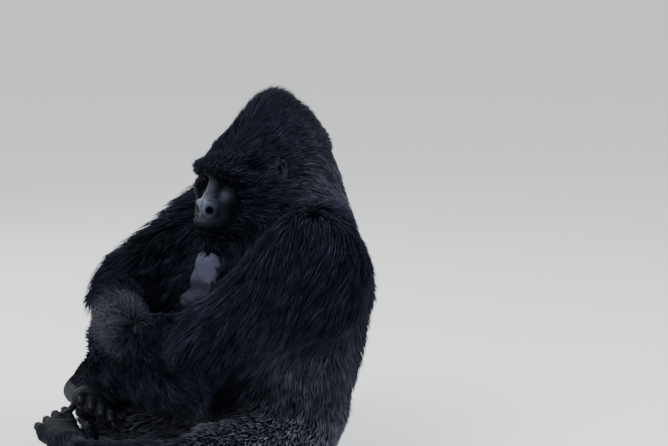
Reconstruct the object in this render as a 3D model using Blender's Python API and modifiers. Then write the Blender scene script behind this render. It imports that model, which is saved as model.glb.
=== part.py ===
"""Seated silverback mountain gorilla, a still life-size model, arms folded over the belly.

The animal faces -Y, its left side is +X and +Z is up. Each sub-part is a chain of ellipsoids:
neighbours in the chain are joined by their convex hull, the hulls are fused by a voxel remesh,
smoothed and reduced, and each sub-part is then cut back from the ones before it by a thin gap.
All lengths are metres, all angles degrees.
"""

import math

import bmesh
import bpy
from mathutils import Matrix, Vector
from mathutils.bvhtree import BVHTree

NAME = "gorilla"
GAP = 0.0004                # clearance left between touching sub-parts
PIECE_MIN = 1e-6            # length below which an edge is taken out after a cut
REDUCE_STEP = 0.02          # how much finer each new try at a reduction is
REDUCE_TRIES = 12           # how often a reduction that crosses itself is tried again

# ---------------------------------------------------------------- driving dimensions
HEAD_AT = Vector((0.033, -0.120, 0.730))    # midway between the eyes
HEAD_YAW = 22.0             # turn towards the animal's left
HEAD_PITCH = 7.0            # face bowed down
HEAD_ROLL = 3.0             # left side lower
EYE_HALF = 0.040            # half the distance between the eyes
EYE_R = 0.0135

SHOULDER_L = Vector((0.265, 0.000, 0.590))
ELBOW_L = Vector((0.178, -0.268, 0.300))
WRIST_L = Vector((-0.150, -0.355, 0.328))
SHOULDER_R = Vector((-0.270, 0.020, 0.590))
ELBOW_R = Vector((-0.217, -0.290, 0.416))
WRIST_R = Vector((0.098, -0.368, 0.405))

HAND_R_ALONG = (0.72, 0.52, -0.45)
HAND_R_BACK = (0.15, -0.75, 0.60)
HAND_L_ALONG = (-0.86, 0.40, 0.02)
HAND_L_BACK = (-0.30, -0.75, 0.55)

HIP_HALF = 0.140            # half the distance between the hips
HIP_Z = 0.108
KNEE_L = Vector((0.310, -0.340, 0.095))
KNEE_R = Vector((-0.365, -0.270, 0.093))
ANKLE_L = Vector((0.088, -0.505, 0.110))
ANKLE_R = Vector((-0.145, -0.375, 0.258))

SKIN_TONE = (0.020, 0.021, 0.026)
COAT_TONE = (0.010, 0.011, 0.014)
SILVER_TONE = (0.085, 0.088, 0.095)
EYE_TONE = (0.030, 0.014, 0.008)


# ---------------------------------------------------------------- placing
def head_frame():
    """Turn and place of the head's own axes: x to its left, y backwards, z up."""
    yaw = Matrix.Rotation(math.radians(HEAD_YAW), 4, "Z")
    pitch = Matrix.Rotation(math.radians(HEAD_PITCH), 4, "X")
    roll = Matrix.Rotation(math.radians(HEAD_ROLL), 4, "Y")
    return Matrix.Translation(HEAD_AT) @ yaw @ pitch @ roll


def limb_frame(origin, along, up):
    """Axes for a hand or foot: y runs along it, z is its back, x completes them."""
    y = Vector(along).normalized()
    z = Vector(up)
    z = (z - y * z.dot(y)).normalized()
    x = y.cross(z)
    turn = Matrix((x, y, z)).transposed().to_4x4()
    return Matrix.Translation(Vector(origin)) @ turn


def both_sides(stations):
    """The same stations with x mirrored, for the other half of a symmetric form."""
    return [((-c[0], c[1], c[2]), r) for c, r in stations]


def radii_of(size):
    """Three radii from a number or from a triple."""
    if isinstance(size, (int, float)):
        return (size, size, size)
    return size


# ---------------------------------------------------------------- shaping
def add_ellipsoid(bm, centre, size, frame):
    """A unit icosphere stretched to the radii, in the given axes."""
    rx, ry, rz = radii_of(size)
    place = frame @ Matrix.Translation(Vector(centre)) @ Matrix.Diagonal((rx, ry, rz, 1.0))
    bmesh.ops.create_icosphere(bm, subdivisions=2, radius=1.0, matrix=place)


def add_hull(target, stations, frame):
    """The convex hull of a few ellipsoids, added to the target mesh as a closed shell."""
    bm = bmesh.new()
    for centre, size in stations:
        add_ellipsoid(bm, centre, size, frame)
    if len(stations) > 1:
        hull = bmesh.ops.convex_hull(bm, input=bm.verts[:])
        loose = [g for g in hull["geom_interior"] if isinstance(g, bmesh.types.BMVert)]
        bmesh.ops.delete(bm, geom=loose, context="VERTS")
        outer = {f for f in hull["geom"] if isinstance(f, bmesh.types.BMFace)}
        inner = [f for f in bm.faces if f not in outer]
        bmesh.ops.delete(bm, geom=inner, context="FACES_ONLY")
    bmesh.ops.recalc_face_normals(bm, faces=bm.faces[:])
    shell = bpy.data.meshes.new("shell")
    bm.to_mesh(shell)
    bm.free()
    target.from_mesh(shell)
    bpy.data.meshes.remove(shell)


def add_chain(target, stations, frame=Matrix.Identity(4)):
    """Hulls of each neighbouring pair of stations, so the form bends as the chain does."""
    if len(stations) == 1:
        add_hull(target, stations, frame)
    for first, second in zip(stations, stations[1:]):
        add_hull(target, [first, second], frame)


def evaluated_copy(obj):
    """A plain mesh of the object as its modifiers leave it."""
    graph = bpy.context.evaluated_depsgraph_get()
    graph.update()
    return bpy.data.meshes.new_from_object(obj.evaluated_get(graph))


def settle(obj):
    """Replace an object's mesh by its evaluated one and drop the modifiers."""
    mesh = evaluated_copy(obj)
    obj.modifiers.clear()
    obj.data = mesh


def fuse(name, target, voxel, smooth, triangles, hollows=()):
    """Fuse shells with a voxel remesh, cut hollows, smooth, and reduce to a triangle count."""
    mesh = bpy.data.meshes.new(name)
    target.to_mesh(mesh)
    target.free()
    obj = bpy.data.objects.new(name, mesh)
    bpy.context.scene.collection.objects.link(obj)
    remesh = obj.modifiers.new("fuse", "REMESH")
    remesh.mode = "VOXEL"
    remesh.voxel_size = voxel
    settle(obj)
    for hollow in hollows:
        cut(obj, hollow)
    if smooth:
        soften = obj.modifiers.new("soften", "SMOOTH")
        soften.factor = 0.5
        soften.iterations = smooth
        settle(obj)
    fine = obj.data
    count = sum(len(p.vertices) - 2 for p in fine.polygons)
    for attempt in range(REDUCE_TRIES):
        obj.data = fine
        reduce = obj.modifiers.new("reduce", "DECIMATE")
        reduce.ratio = min(1.0, triangles * (1.0 + REDUCE_STEP * attempt) / count)
        reduce.use_collapse_triangulate = True
        settle(obj)
        if not crosses_itself(obj.data):
            break
    return obj


def crosses_itself(mesh):
    """Whether two faces that share no corner pass through each other."""
    spots = [v.co for v in mesh.vertices]
    faces = [tuple(p.vertices) for p in mesh.polygons]
    tree = BVHTree.FromPolygons(spots, faces)
    return any(not set(faces[a]) & set(faces[b]) for a, b in tree.overlap(tree) if a < b)


def cut(obj, cutter):
    """Boolean difference of one closed mesh from another."""
    take = obj.modifiers.new("cut", "BOOLEAN")
    take.operation = "DIFFERENCE"
    take.solver = "EXACT"
    take.object = cutter
    settle(obj)


def largest_body(obj):
    """Keep only the biggest connected body of the mesh, with tiny edges taken out."""
    bm = bmesh.new()
    bm.from_mesh(obj.data)
    bmesh.ops.remove_doubles(bm, verts=bm.verts[:], dist=PIECE_MIN)
    bmesh.ops.triangulate(bm, faces=bm.faces[:])
    unseen = set(bm.verts)
    bodies = []
    while unseen:
        stack = [unseen.pop()]
        body = set(stack)
        while stack:
            for edge in stack.pop().link_edges:
                for vert in edge.verts:
                    if vert not in body:
                        body.add(vert)
                        stack.append(vert)
        unseen -= body
        bodies.append(body)
    bodies.sort(key=len)
    spare = [v for body in bodies[:-1] for v in body]
    bmesh.ops.delete(bm, geom=spare, context="VERTS")
    bm.to_mesh(obj.data)
    bm.free()


def inflated(obj, by):
    """A cutter: the object's mesh pushed out along its normals."""
    mesh = obj.data.copy()
    bm = bmesh.new()
    bm.from_mesh(mesh)
    bm.normal_update()
    moves = [(v, v.normal * by) for v in bm.verts]
    for vert, move in moves:
        vert.co += move
    bm.to_mesh(mesh)
    bm.free()
    cutter = bpy.data.objects.new("cut_" + obj.name, mesh)
    cutter.hide_render = True
    cutter.display_type = "WIRE"
    cutters.objects.link(cutter)
    return cutter


def flatten_at_floor(obj):
    """Slice off what lies below z = 0, which leaves a small flat there."""
    bm = bmesh.new()
    bm.from_mesh(obj.data)
    if min(v.co.z for v in bm.verts) < 0.0:
        geom = bm.verts[:] + bm.edges[:] + bm.faces[:]
        sliced = bmesh.ops.bisect_plane(
            bm, geom=geom, plane_co=(0, 0, 0), plane_no=(0, 0, 1), clear_inner=True
        )
        rim = [g for g in sliced["geom_cut"] if isinstance(g, bmesh.types.BMEdge)]
        bmesh.ops.holes_fill(bm, edges=rim)
        bmesh.ops.triangulate(bm, faces=bm.faces[:])
        bmesh.ops.recalc_face_normals(bm, faces=bm.faces[:])
    bm.to_mesh(obj.data)
    bm.free()


def paint(obj, tone, roughness):
    """One Principled material for the sub-part."""
    material = bpy.data.materials.new(obj.name)
    material.use_nodes = True
    shader = material.node_tree.nodes["Principled BSDF"]
    shader.inputs["Base Color"].default_value = (*tone, 1.0)
    shader.inputs["Roughness"].default_value = roughness
    shader.inputs["Metallic"].default_value = 0.0
    obj.data.materials.clear()
    obj.data.materials.append(material)
    obj.data.shade_smooth()


# ---------------------------------------------------------------- head
def build_head():
    """Crested skull, heavy brow, short deep muzzle and wide jaw, in the head's own axes."""
    bm = bmesh.new()
    frame = head_frame()
    add_chain(bm, [
        ((0, 0.036, 0.024), (0.052, 0.040, 0.030)),
        ((0, 0.118, 0.046), (0.088, 0.082, 0.072)),
        ((0, 0.214, 0.045), (0.110, 0.094, 0.095)),
        ((0, 0.236, -0.035), (0.120, 0.094, 0.090)),
    ], frame)
    add_chain(bm, [
        ((0, 0.026, 0.044), (0.036, 0.028, 0.020)),
        ((0, 0.096, 0.088), (0.046, 0.040, 0.034)),
        ((0, 0.154, 0.141), (0.046, 0.042, 0.038)),
        ((0, 0.212, 0.154), (0.048, 0.048, 0.040)),
        ((0, 0.280, 0.082), (0.076, 0.058, 0.060)),
        ((0, 0.302, 0.020), (0.100, 0.072, 0.070)),
    ], frame)
    half = [
        ((0.000, -0.014, 0.032), (0.026, 0.018, 0.019)),
        ((0.038, -0.010, 0.032), (0.024, 0.018, 0.018)),
        ((0.070, 0.016, 0.018), (0.016, 0.018, 0.018)),
    ]
    side = [
        ((0.074, 0.020, -0.028), (0.026, 0.030, 0.024)),
        ((0.088, 0.095, -0.030), (0.036, 0.055, 0.060)),
    ]
    slope = [
        ((0.016, 0.108, 0.080), (0.040, 0.048, 0.040)),
        ((0.026, 0.190, 0.098), (0.056, 0.066, 0.058)),
    ]
    temple = [
        ((0.050, 0.088, 0.030), (0.044, 0.056, 0.056)),
        ((0.076, 0.135, -0.010), (0.048, 0.074, 0.080)),
    ]
    forehead = [
        ((0.000, 0.008, 0.046), (0.046, 0.030, 0.026)),
        ((0.030, 0.016, 0.040), (0.032, 0.030, 0.026)),
        ((0.026, 0.070, 0.060), (0.044, 0.044, 0.040)),
    ]
    jaw = [
        ((0.080, 0.122, -0.070), (0.052, 0.068, 0.070)),
        ((0.070, 0.075, -0.140), (0.050, 0.060, 0.056)),
        ((0.026, 0.000, -0.155), (0.036, 0.040, 0.036)),
    ]
    cheek = [
        ((0.064, 0.032, -0.050), (0.032, 0.036, 0.040)),
        ((0.062, 0.034, -0.110), (0.040, 0.044, 0.046)),
        ((0.034, -0.010, -0.105), (0.028, 0.030, 0.030)),
    ]
    nostril_wing = [((0.016, -0.044, -0.059), (0.021, 0.024, 0.026))]
    for form in (half, side, slope, temple, forehead, jaw, cheek, nostril_wing):
        add_chain(bm, form, frame)
        add_chain(bm, both_sides(form), frame)
    add_chain(bm, [
        ((0, -0.006, 0.004), (0.017, 0.018, 0.016)),
        ((0, -0.026, -0.026), (0.020, 0.016, 0.017)),
        ((0, -0.050, -0.050), (0.020, 0.015, 0.017)),
    ], frame)
    add_chain(bm, [
        ((0, 0.012, -0.045), (0.056, 0.036, 0.036)),
        ((0, -0.036, -0.098), (0.052, 0.034, 0.024)),
    ], frame)
    add_chain(bm, [
        ((0, -0.030, -0.128), (0.046, 0.036, 0.020)),
        ((0, -0.018, -0.152), (0.044, 0.040, 0.028)),
    ], frame)
    sockets = bmesh.new()
    for sign in (-1, 1):
        add_chain(sockets, [
            ((sign * EYE_HALF, -0.019, 0.001), (0.019, 0.018, 0.013)),
        ], frame)
    socket = fuse("cut_sockets", sockets, 0.003, 0, 600)
    to_cutters(socket)
    return fuse("head", bm, 0.0055, 4, 1520, hollows=[socket])


def build_eye(sign, name):
    """An eyeball set deep below the brow."""
    bm = bmesh.new()
    bmesh.ops.create_uvsphere(bm, u_segments=12, v_segments=7, radius=EYE_R)
    middle = head_frame() @ Vector((sign * EYE_HALF, 0.008, 0.003))
    bmesh.ops.translate(bm, verts=bm.verts[:], vec=middle)
    mesh = bpy.data.meshes.new(name)
    bm.to_mesh(mesh)
    bm.free()
    obj = bpy.data.objects.new(name, mesh)
    bpy.context.scene.collection.objects.link(obj)
    return obj


def build_ear(sign, name):
    """A small oval shell with a raised rim, close to the side of the head."""
    bm = bmesh.new()
    frame = head_frame() @ Matrix.Translation(Vector((sign * 0.108, 0.100, 0.018)))
    add_chain(bm, [((0, 0, 0), (0.009, 0.018, 0.027))], frame)
    rim = []
    steps = 8
    for k in range(steps + 1):
        turn = math.radians(-60.0 + 240.0 * k / steps)
        spot = (sign * 0.009, 0.016 * math.cos(turn) + 0.002, 0.024 * math.sin(turn))
        rim.append((spot, (0.0045, 0.005, 0.005)))
    add_chain(bm, rim, frame)
    return fuse(name, bm, 0.0025, 3, 170)


# ---------------------------------------------------------------- trunk and neck
def build_neck():
    """Short massive neck with the nape muscles behind and the loose throat in front."""
    bm = bmesh.new()
    add_chain(bm, [
        ((-0.056, 0.123, 0.760), (0.126, 0.118, 0.085)),
        ((-0.026, 0.118, 0.670), (0.168, 0.126, 0.090)),
        ((0.000, 0.105, 0.600), (0.200, 0.130, 0.080)),
    ])
    add_chain(bm, [
        ((0.020, 0.000, 0.620), (0.120, 0.110, 0.080)),
        ((0.015, -0.090, 0.530), (0.085, 0.085, 0.070)),
    ])
    return fuse("neck", bm, 0.012, 6, 280)


def build_chest():
    """Deep rib cage and shoulder girdle."""
    bm = bmesh.new()
    add_chain(bm, [
        ((0.000, 0.065, 0.600), (0.230, 0.185, 0.100)),
        ((0.000, 0.065, 0.500), (0.275, 0.235, 0.120)),
        ((0.000, 0.030, 0.410), (0.290, 0.275, 0.090)),
    ])
    for sign in (-1, 1):
        add_chain(bm, [
            ((sign * 0.060, 0.120, 0.640), (0.100, 0.110, 0.070)),
            ((sign * 0.240, 0.050, 0.600), (0.090, 0.110, 0.090)),
        ])
    return fuse("chest", bm, 0.014, 8, 420)


def build_belly():
    """Full round belly and flanks."""
    bm = bmesh.new()
    add_chain(bm, [
        ((0.000, 0.020, 0.390), (0.284, 0.268, 0.080)),
        ((0.000, 0.000, 0.290), (0.290, 0.270, 0.110)),
        ((0.000, 0.010, 0.200), (0.270, 0.230, 0.100)),
    ])
    return fuse("belly", bm, 0.014, 8, 300)


def build_rump():
    """Pelvis and seat, flat where it rests."""
    bm = bmesh.new()
    add_chain(bm, [
        ((0.000, 0.025, 0.160), (0.255, 0.215, 0.090)),
        ((0.000, 0.035, 0.085), (0.215, 0.180, 0.100)),
    ])
    return fuse("rump", bm, 0.014, 8, 260)


# ---------------------------------------------------------------- arms
def build_upper_arm(name, shoulder, elbow, out, front):
    """Shoulder cap, upper arm and the long coat that hangs off its back."""
    bm = bmesh.new()
    along = elbow - shoulder
    mid = shoulder + along * 0.5
    low = shoulder + along * 0.82 + Vector((0.0, -front, 0.4 * front))
    add_chain(bm, [
        (shoulder, (0.108, 0.118, 0.110)),
        (mid, (0.090, 0.104, 0.100)),
        (low, (0.082, 0.090, 0.088)),
        (elbow, (0.074, 0.076, 0.078)),
    ])
    add_chain(bm, [
        (shoulder + Vector((out * 0.010, 0.070, -0.050)), (0.090, 0.110, 0.110)),
        (shoulder + Vector((out * 0.010, 0.040, -0.150)), (0.075, 0.120, 0.090)),
        (mid + Vector((0.0, 0.020, -0.060)), (0.080, 0.090, 0.080)),
        (elbow + Vector((-out * 0.030, 0.085, 0.000)), (0.062, 0.066, 0.066)),
    ])
    return fuse(name, bm, 0.013, 7, 320)


def build_forearm(name, elbow, wrist, hang):
    """Forearm with its shaggy coat, deeper below than above."""
    bm = bmesh.new()
    along = wrist - elbow
    drop = Vector((0.0, 0.0, -hang))
    add_chain(bm, [
        (elbow + drop * 0.5, (0.074, 0.072, 0.078)),
        (elbow + along * 0.3 + drop, (0.080, 0.078, 0.088)),
        (elbow + along * 0.75 + drop, (0.076, 0.068, 0.086)),
        (wrist + drop * 0.5, (0.056, 0.050, 0.056)),
    ])
    return fuse(name, bm, 0.012, 6, 300)


def build_hand(name, wrist, along, up, side, curl):
    """Broad palm, four thick curled fingers and a short thumb."""
    bm = bmesh.new()
    frame = limb_frame(wrist, along, up)
    add_chain(bm, [
        ((0.000, 0.000, 0.000), (0.036, 0.030, 0.030)),
        ((0.000, 0.055, 0.002), (0.050, 0.030, 0.024)),
        ((0.000, 0.095, -0.004), (0.054, 0.022, 0.022)),
    ], frame)
    for k in range(4):
        across = side * (0.042 - 0.028 * k)
        reach = (0.060, 0.068, 0.064, 0.052)[k]
        knuckle = Vector((across, 0.100, -0.002))
        bend = math.radians(curl)
        first = knuckle + Vector((0, math.cos(bend), -math.sin(bend))) * reach
        bend = math.radians(curl * 2.2)
        second = first + Vector((0, math.cos(bend), -math.sin(bend))) * reach * 0.6
        bend = math.radians(curl * 3.2)
        tip = second + Vector((0, math.cos(bend), -math.sin(bend))) * reach * 0.45
        add_chain(bm, [
            (knuckle, 0.0170), (first, 0.0155), (second, 0.0145), (tip, 0.0125),
        ], frame)
    add_chain(bm, [
        ((side * 0.040, 0.030, -0.008), 0.018),
        ((side * 0.066, 0.062, -0.022), 0.0145),
        ((side * 0.070, 0.092, -0.034), 0.0120),
    ], frame)
    return fuse(name, bm, 0.0055, 3, 410)


# ---------------------------------------------------------------- legs
def build_thigh(name, sign, knee):
    """Thigh turned outwards and lying on the floor."""
    bm = bmesh.new()
    hip = Vector((sign * HIP_HALF, 0.010, HIP_Z))
    along = knee - hip
    add_chain(bm, [
        (hip, (0.120, 0.130, 0.105)),
        (hip + along * 0.5, (0.110, 0.110, 0.096)),
        (knee, (0.084, 0.082, 0.098)),
    ])
    return fuse(name, bm, 0.013, 6, 240)


def build_shank(name, knee, ankle):
    """Lower leg folded inwards in front of the body."""
    bm = bmesh.new()
    along = ankle - knee
    add_chain(bm, [
        (knee, (0.078, 0.076, 0.082)),
        (knee + along * 0.35, (0.070, 0.074, 0.076)),
        (knee + along * 0.75, (0.052, 0.056, 0.056)),
        (ankle, (0.044, 0.046, 0.046)),
    ])
    return fuse(name, bm, 0.011, 5, 220)


def build_foot(name, ankle, along, up, side):
    """Heel, broad sole, four toes in a row and the big toe set apart."""
    bm = bmesh.new()
    frame = limb_frame(ankle, along, up)
    add_chain(bm, [
        ((0.000, -0.030, -0.066), (0.032, 0.036, 0.034)),
        ((0.000, 0.000, -0.020), (0.038, 0.042, 0.040)),
        ((0.000, 0.070, -0.050), (0.046, 0.050, 0.032)),
        ((0.000, 0.140, -0.068), (0.050, 0.030, 0.024)),
    ], frame)
    add_chain(bm, [
        ((0.000, -0.030, -0.072), (0.034, 0.036, 0.032)),
        ((0.000, 0.070, -0.078), (0.040, 0.040, 0.022)),
        ((0.000, 0.140, -0.074), (0.048, 0.030, 0.022)),
    ], frame)
    for k in range(4):
        across = side * (0.036 - 0.026 * k)
        reach = (0.050, 0.050, 0.044, 0.036)[k]
        start = 0.155 - 0.007 * k
        add_chain(bm, [
            ((across, start, -0.074), 0.0155),
            ((across, start + reach * 0.6, -0.072), 0.0145),
            ((across, start + reach, -0.082), 0.0125),
        ], frame)
    add_chain(bm, [
        ((side * 0.034, 0.050, -0.070), 0.022),
        ((side * 0.068, 0.096, -0.070), 0.020),
        ((side * 0.078, 0.134, -0.074), 0.017),
    ], frame)
    return fuse(name, bm, 0.0060, 3, 440)


# ---------------------------------------------------------------- the whole
def to_cutters(obj):
    """Move a helper into the cutters' collection, hidden from renders."""
    bpy.context.scene.collection.objects.unlink(obj)
    cutters.objects.link(obj)
    obj.hide_render = True
    obj.display_type = "WIRE"


def boxes_meet(a, b):
    """Whether two objects' bounding boxes overlap."""
    low_a, high_a = corners(a)
    low_b, high_b = corners(b)
    return all(low_a[k] < high_b[k] and low_b[k] < high_a[k] for k in range(3))


def corners(obj):
    """Lowest and highest corner of a mesh."""
    spots = [v.co for v in obj.data.vertices]
    low = Vector([min(s[k] for s in spots) for k in range(3)])
    high = Vector([max(s[k] for s in spots) for k in range(3)])
    return low, high


def all_parts():
    """Every sub-part, the ones that keep their whole form first."""
    far_arm = (SHOULDER_R, ELBOW_R, -1, 0.018)
    near_arm = (SHOULDER_L, ELBOW_L, 1, 0.042)
    across_l = (-0.84, 0.00, 0.60)
    across_r = (0.95, -0.14, 0.04)
    return [
        (build_eye(1, "eye_left"), EYE_TONE, 0.15),
        (build_eye(-1, "eye_right"), EYE_TONE, 0.15),
        (build_rump(), SILVER_TONE, 0.65),
        (build_belly(), SILVER_TONE, 0.65),
        (build_chest(), COAT_TONE, 0.65),
        (build_neck(), COAT_TONE, 0.65),
        (build_thigh("thigh_left", 1, KNEE_L), SILVER_TONE, 0.65),
        (build_thigh("thigh_right", -1, KNEE_R), SILVER_TONE, 0.65),
        (build_upper_arm("upper_arm_left", *near_arm), COAT_TONE, 0.65),
        (build_upper_arm("upper_arm_right", *far_arm), COAT_TONE, 0.65),
        (build_forearm("forearm_left", ELBOW_L, WRIST_L, 0.050), COAT_TONE, 0.65),
        (build_forearm("forearm_right", ELBOW_R, WRIST_R, 0.035), COAT_TONE, 0.65),
        (build_shank("shank_left", KNEE_L, ANKLE_L), COAT_TONE, 0.65),
        (build_shank("shank_right", KNEE_R, ANKLE_R), COAT_TONE, 0.65),
        (build_foot("foot_left", ANKLE_L, across_l, (0.25, -0.05, 0.95), 1), SKIN_TONE, 0.50),
        (build_foot("foot_right", ANKLE_R, across_r, (-0.30, 0.55, 0.72), -1), SKIN_TONE, 0.50),
        (build_hand("hand_right", WRIST_R, HAND_R_ALONG, HAND_R_BACK, -1, 22), SKIN_TONE, 0.50),
        (build_hand("hand_left", WRIST_L, HAND_L_ALONG, HAND_L_BACK, 1, 24), SKIN_TONE, 0.50),
        (build_head(), COAT_TONE, 0.60),
        (build_ear(1, "ear_left"), SKIN_TONE, 0.55),
        (build_ear(-1, "ear_right"), SKIN_TONE, 0.55),
    ]


def main():
    """Build, part with thin cuts, flatten at the floor and set the origin below the middle."""
    parts = all_parts()
    uncut = []
    for obj, tone, roughness in parts:
        whole = inflated(obj, GAP)
        for before in uncut:
            if boxes_meet(obj, before):
                cut(obj, before)
        uncut.append(whole)
        largest_body(obj)
        flatten_at_floor(obj)
        bpy.context.scene.collection.objects.unlink(obj)
        body.objects.link(obj)
        paint(obj, tone, roughness)
    spans = [corners(obj) for obj, _tone, _rough in parts]
    low = Vector([min(s[0][k] for s in spans) for k in range(3)])
    high = Vector([max(s[1][k] for s in spans) for k in range(3)])
    shift = Matrix.Translation(Vector((-(low.x + high.x) / 2, -(low.y + high.y) / 2, -low.z)))
    for obj, _tone, _rough in parts:
        obj.data.transform(shift)


for old in list(bpy.data.objects):
    bpy.data.objects.remove(old, do_unlink=True)
body = bpy.data.collections.new(NAME)
cutters = bpy.data.collections.new(NAME + "_cutters")
bpy.context.scene.collection.children.link(body)
bpy.context.scene.collection.children.link(cutters)
main()
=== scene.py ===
"""Looks of the seated silverback gorilla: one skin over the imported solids, eyes, nails and a tufted coat.

The animal faces -Y, its left is +X and +Z is up. All lengths are metres.
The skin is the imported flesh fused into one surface, drawn in by the depth of the coat, with the
bare face, hands and feet worked out from blended chains of ellipsoids. The coat is made of solid
tapered tufts that creep over the skin along a field of directions.
"""

import math

import bpy
import numpy as np
from mathutils import Matrix, Vector


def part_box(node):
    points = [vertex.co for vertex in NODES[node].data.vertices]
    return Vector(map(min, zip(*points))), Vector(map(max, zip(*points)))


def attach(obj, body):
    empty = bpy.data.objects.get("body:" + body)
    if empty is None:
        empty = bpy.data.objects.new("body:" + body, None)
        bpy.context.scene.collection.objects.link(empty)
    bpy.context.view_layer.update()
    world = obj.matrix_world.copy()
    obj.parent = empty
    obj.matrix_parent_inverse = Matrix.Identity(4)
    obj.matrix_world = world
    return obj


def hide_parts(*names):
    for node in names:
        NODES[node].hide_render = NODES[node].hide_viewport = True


bl_info = {
    "name": "Seated Silverback Gorilla",
    "version": (1, 0, 0),
    "blender": (4, 5, 0),
    "location": "View3D > Sidebar > Gorilla",
    "description": "Skin, eyes, nails and tufted coat of a seated silverback gorilla",
    "category": "Add Mesh",
}

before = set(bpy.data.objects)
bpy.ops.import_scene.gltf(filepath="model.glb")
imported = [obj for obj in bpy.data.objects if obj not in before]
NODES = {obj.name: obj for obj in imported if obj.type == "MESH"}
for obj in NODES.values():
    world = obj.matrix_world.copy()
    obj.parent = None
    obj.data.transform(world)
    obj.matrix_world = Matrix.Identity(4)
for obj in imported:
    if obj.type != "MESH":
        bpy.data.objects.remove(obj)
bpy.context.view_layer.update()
SEED = 20  # of the coat's first piece, each further piece takes the next number

# ---------------------------------------------------------------- landmarks of the solids
HEAD_AT = np.array((0.033, -0.120, 0.730))  # midway between the eyes
HEAD_YAW = 22.0
HEAD_PITCH = 7.0
HEAD_ROLL = 3.0
EYE_HALF = 0.040
EYE_R = 0.0135
EYE_LOCAL = np.array((EYE_HALF, 0.008, 0.003))  # left eye and left ear, in head axes
EAR_LOCAL = np.array((0.108, 0.100, 0.018))

SHOULDER_L = np.array((0.265, 0.000, 0.590))
ELBOW_L = np.array((0.178, -0.268, 0.300))
WRIST_L = np.array((-0.150, -0.355, 0.328))
SHOULDER_R = np.array((-0.270, 0.020, 0.590))
ELBOW_R = np.array((-0.217, -0.290, 0.416))
WRIST_R = np.array((0.098, -0.368, 0.405))
HIP_L = np.array((0.140, 0.010, 0.108))
HIP_R = np.array((-0.140, 0.010, 0.108))
KNEE_L = np.array((0.310, -0.340, 0.095))
KNEE_R = np.array((-0.365, -0.270, 0.093))
ANKLE_L = np.array((0.088, -0.505, 0.110))
ANKLE_R = np.array((-0.145, -0.375, 0.258))

# root, direction along it, direction of its back, side of the thumb or big toe, and a hand's curl in degrees
HANDS_FEET = {
    "hand_right": (WRIST_R, (0.72, 0.52, -0.45), (0.15, -0.75, 0.60), -1, 22.0),
    "hand_left": (WRIST_L, (-0.86, 0.40, 0.02), (-0.30, -0.75, 0.55), 1, 24.0),
    "foot_left": (ANKLE_L, (-0.84, 0.00, 0.60), (0.25, -0.05, 0.95), 1),
    "foot_right": (ANKLE_R, (0.95, -0.14, 0.04), (-0.30, 0.55, 0.72), -1),
}
HEAD_NODES = ("head", "ear_left", "ear_right")

DOWN = np.array((0.0, 0.0, -1.0))


# ---------------------------------------------------------------- vectors
def unit(v):
    """Each row divided by its own length."""
    return v / np.maximum(np.linalg.norm(v, axis=-1, keepdims=True), 1e-12)


def dot(a, b):
    """Row by row dot product, kept as a column."""
    return np.sum(a * b, axis=-1, keepdims=True)


def smooth(x, low, high):
    """0 below low, 1 above high, and 3t^2 - 2t^3 between."""
    t = np.clip((x - low) / (high - low), 0.0, 1.0)
    return t * t * (3.0 - 2.0 * t)


def rotation(axis, degrees):
    """3 x 3 turn about a main axis."""
    return np.array(Matrix.Rotation(math.radians(degrees), 3, axis))


def axes_of(along, up):
    """Columns x, y, z of a hand or foot: y runs along it and z is its back."""
    y = unit(np.array(along, float))
    z = np.array(up, float)
    z = unit(z - y * np.dot(z, y))
    return np.stack((np.cross(y, z), y, z), axis=1)


HEAD_TURN = rotation("Z", HEAD_YAW) @ rotation("X", HEAD_PITCH) @ rotation("Y", HEAD_ROLL)
EYE_BOX = np.array(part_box("eye_left"))
SHIFT = EYE_BOX.mean(axis=0) - (HEAD_AT + HEAD_TURN @ EYE_LOCAL)


def place(spot):
    """A landmark moved from the solids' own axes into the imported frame."""
    return np.asarray(spot, float) + SHIFT


def to_local(points, origin, turn):
    """Points in the axes of a head, hand or foot."""
    return (points - origin) @ turn


def to_world(points, origin, turn):
    """The way back from to_local."""
    return points @ turn.T + origin


def head_axes(points):
    """Packed points in head axes: x to the head's left, y backwards and z up, from between the eyes."""
    return to_local(points, place(HEAD_AT), HEAD_TURN)


def limb_frame(name):
    """Origin and axes of a hand or foot."""
    limb = HANDS_FEET[name]
    return place(limb[0]), axes_of(limb[1], limb[2])


# ---------------------------------------------------------------- clay: blended chains of ellipsoids
def chain(p, stations):
    """How far each point lies outside a chain of ellipsoids.

    Between two stations the centre and radii change evenly. With q = (p - centre) / radii the
    distance is |q| (|q| - 1) / |q / radii|, and the chain takes the least of its links.
    """
    spans = list(zip(stations, stations[1:])) or [(stations[0], stations[0])]
    least = None
    for (c0, r0), (c1, r1) in spans:
        c0 = np.array(c0)
        r0 = np.array(r0) * np.ones(3)
        step = np.array(c1) - c0
        grow = np.array(r1) * np.ones(3) - r0
        t = np.clip((p - c0) @ step / max(step @ step, 1e-9), 0.0, 1.0)[:, None]
        radii = r0 + t * grow
        q = (p - c0 - t * step) / radii
        k0 = np.sqrt((q * q).sum(axis=1))
        q /= radii
        k1 = np.sqrt((q * q).sum(axis=1))
        f = k0 * (k0 - 1.0) / np.maximum(k1, 1e-9)
        least = f if least is None else np.minimum(least, f)
    return least


def blend(a, b, k):
    """Union with a soft fillet of width k: min(a, b) less h^2 k / 4, h = max(k - |a - b|, 0) / k."""
    h = np.maximum(k - np.abs(a - b), 0.0) / k
    return np.minimum(a, b) - h * h * k * 0.25


def moulded(p, forms):
    """Chains blended one after another, each with the fillet before it; the first chain's is not used."""
    f = None
    for fillet, stations in forms:
        part = chain(p, stations)
        f = part if f is None else blend(f, part, fillet)
    return f


def carve(a, b, k):
    """Body a with form b taken out, its edge rounded over k."""
    return -blend(-a, b, k)


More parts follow.
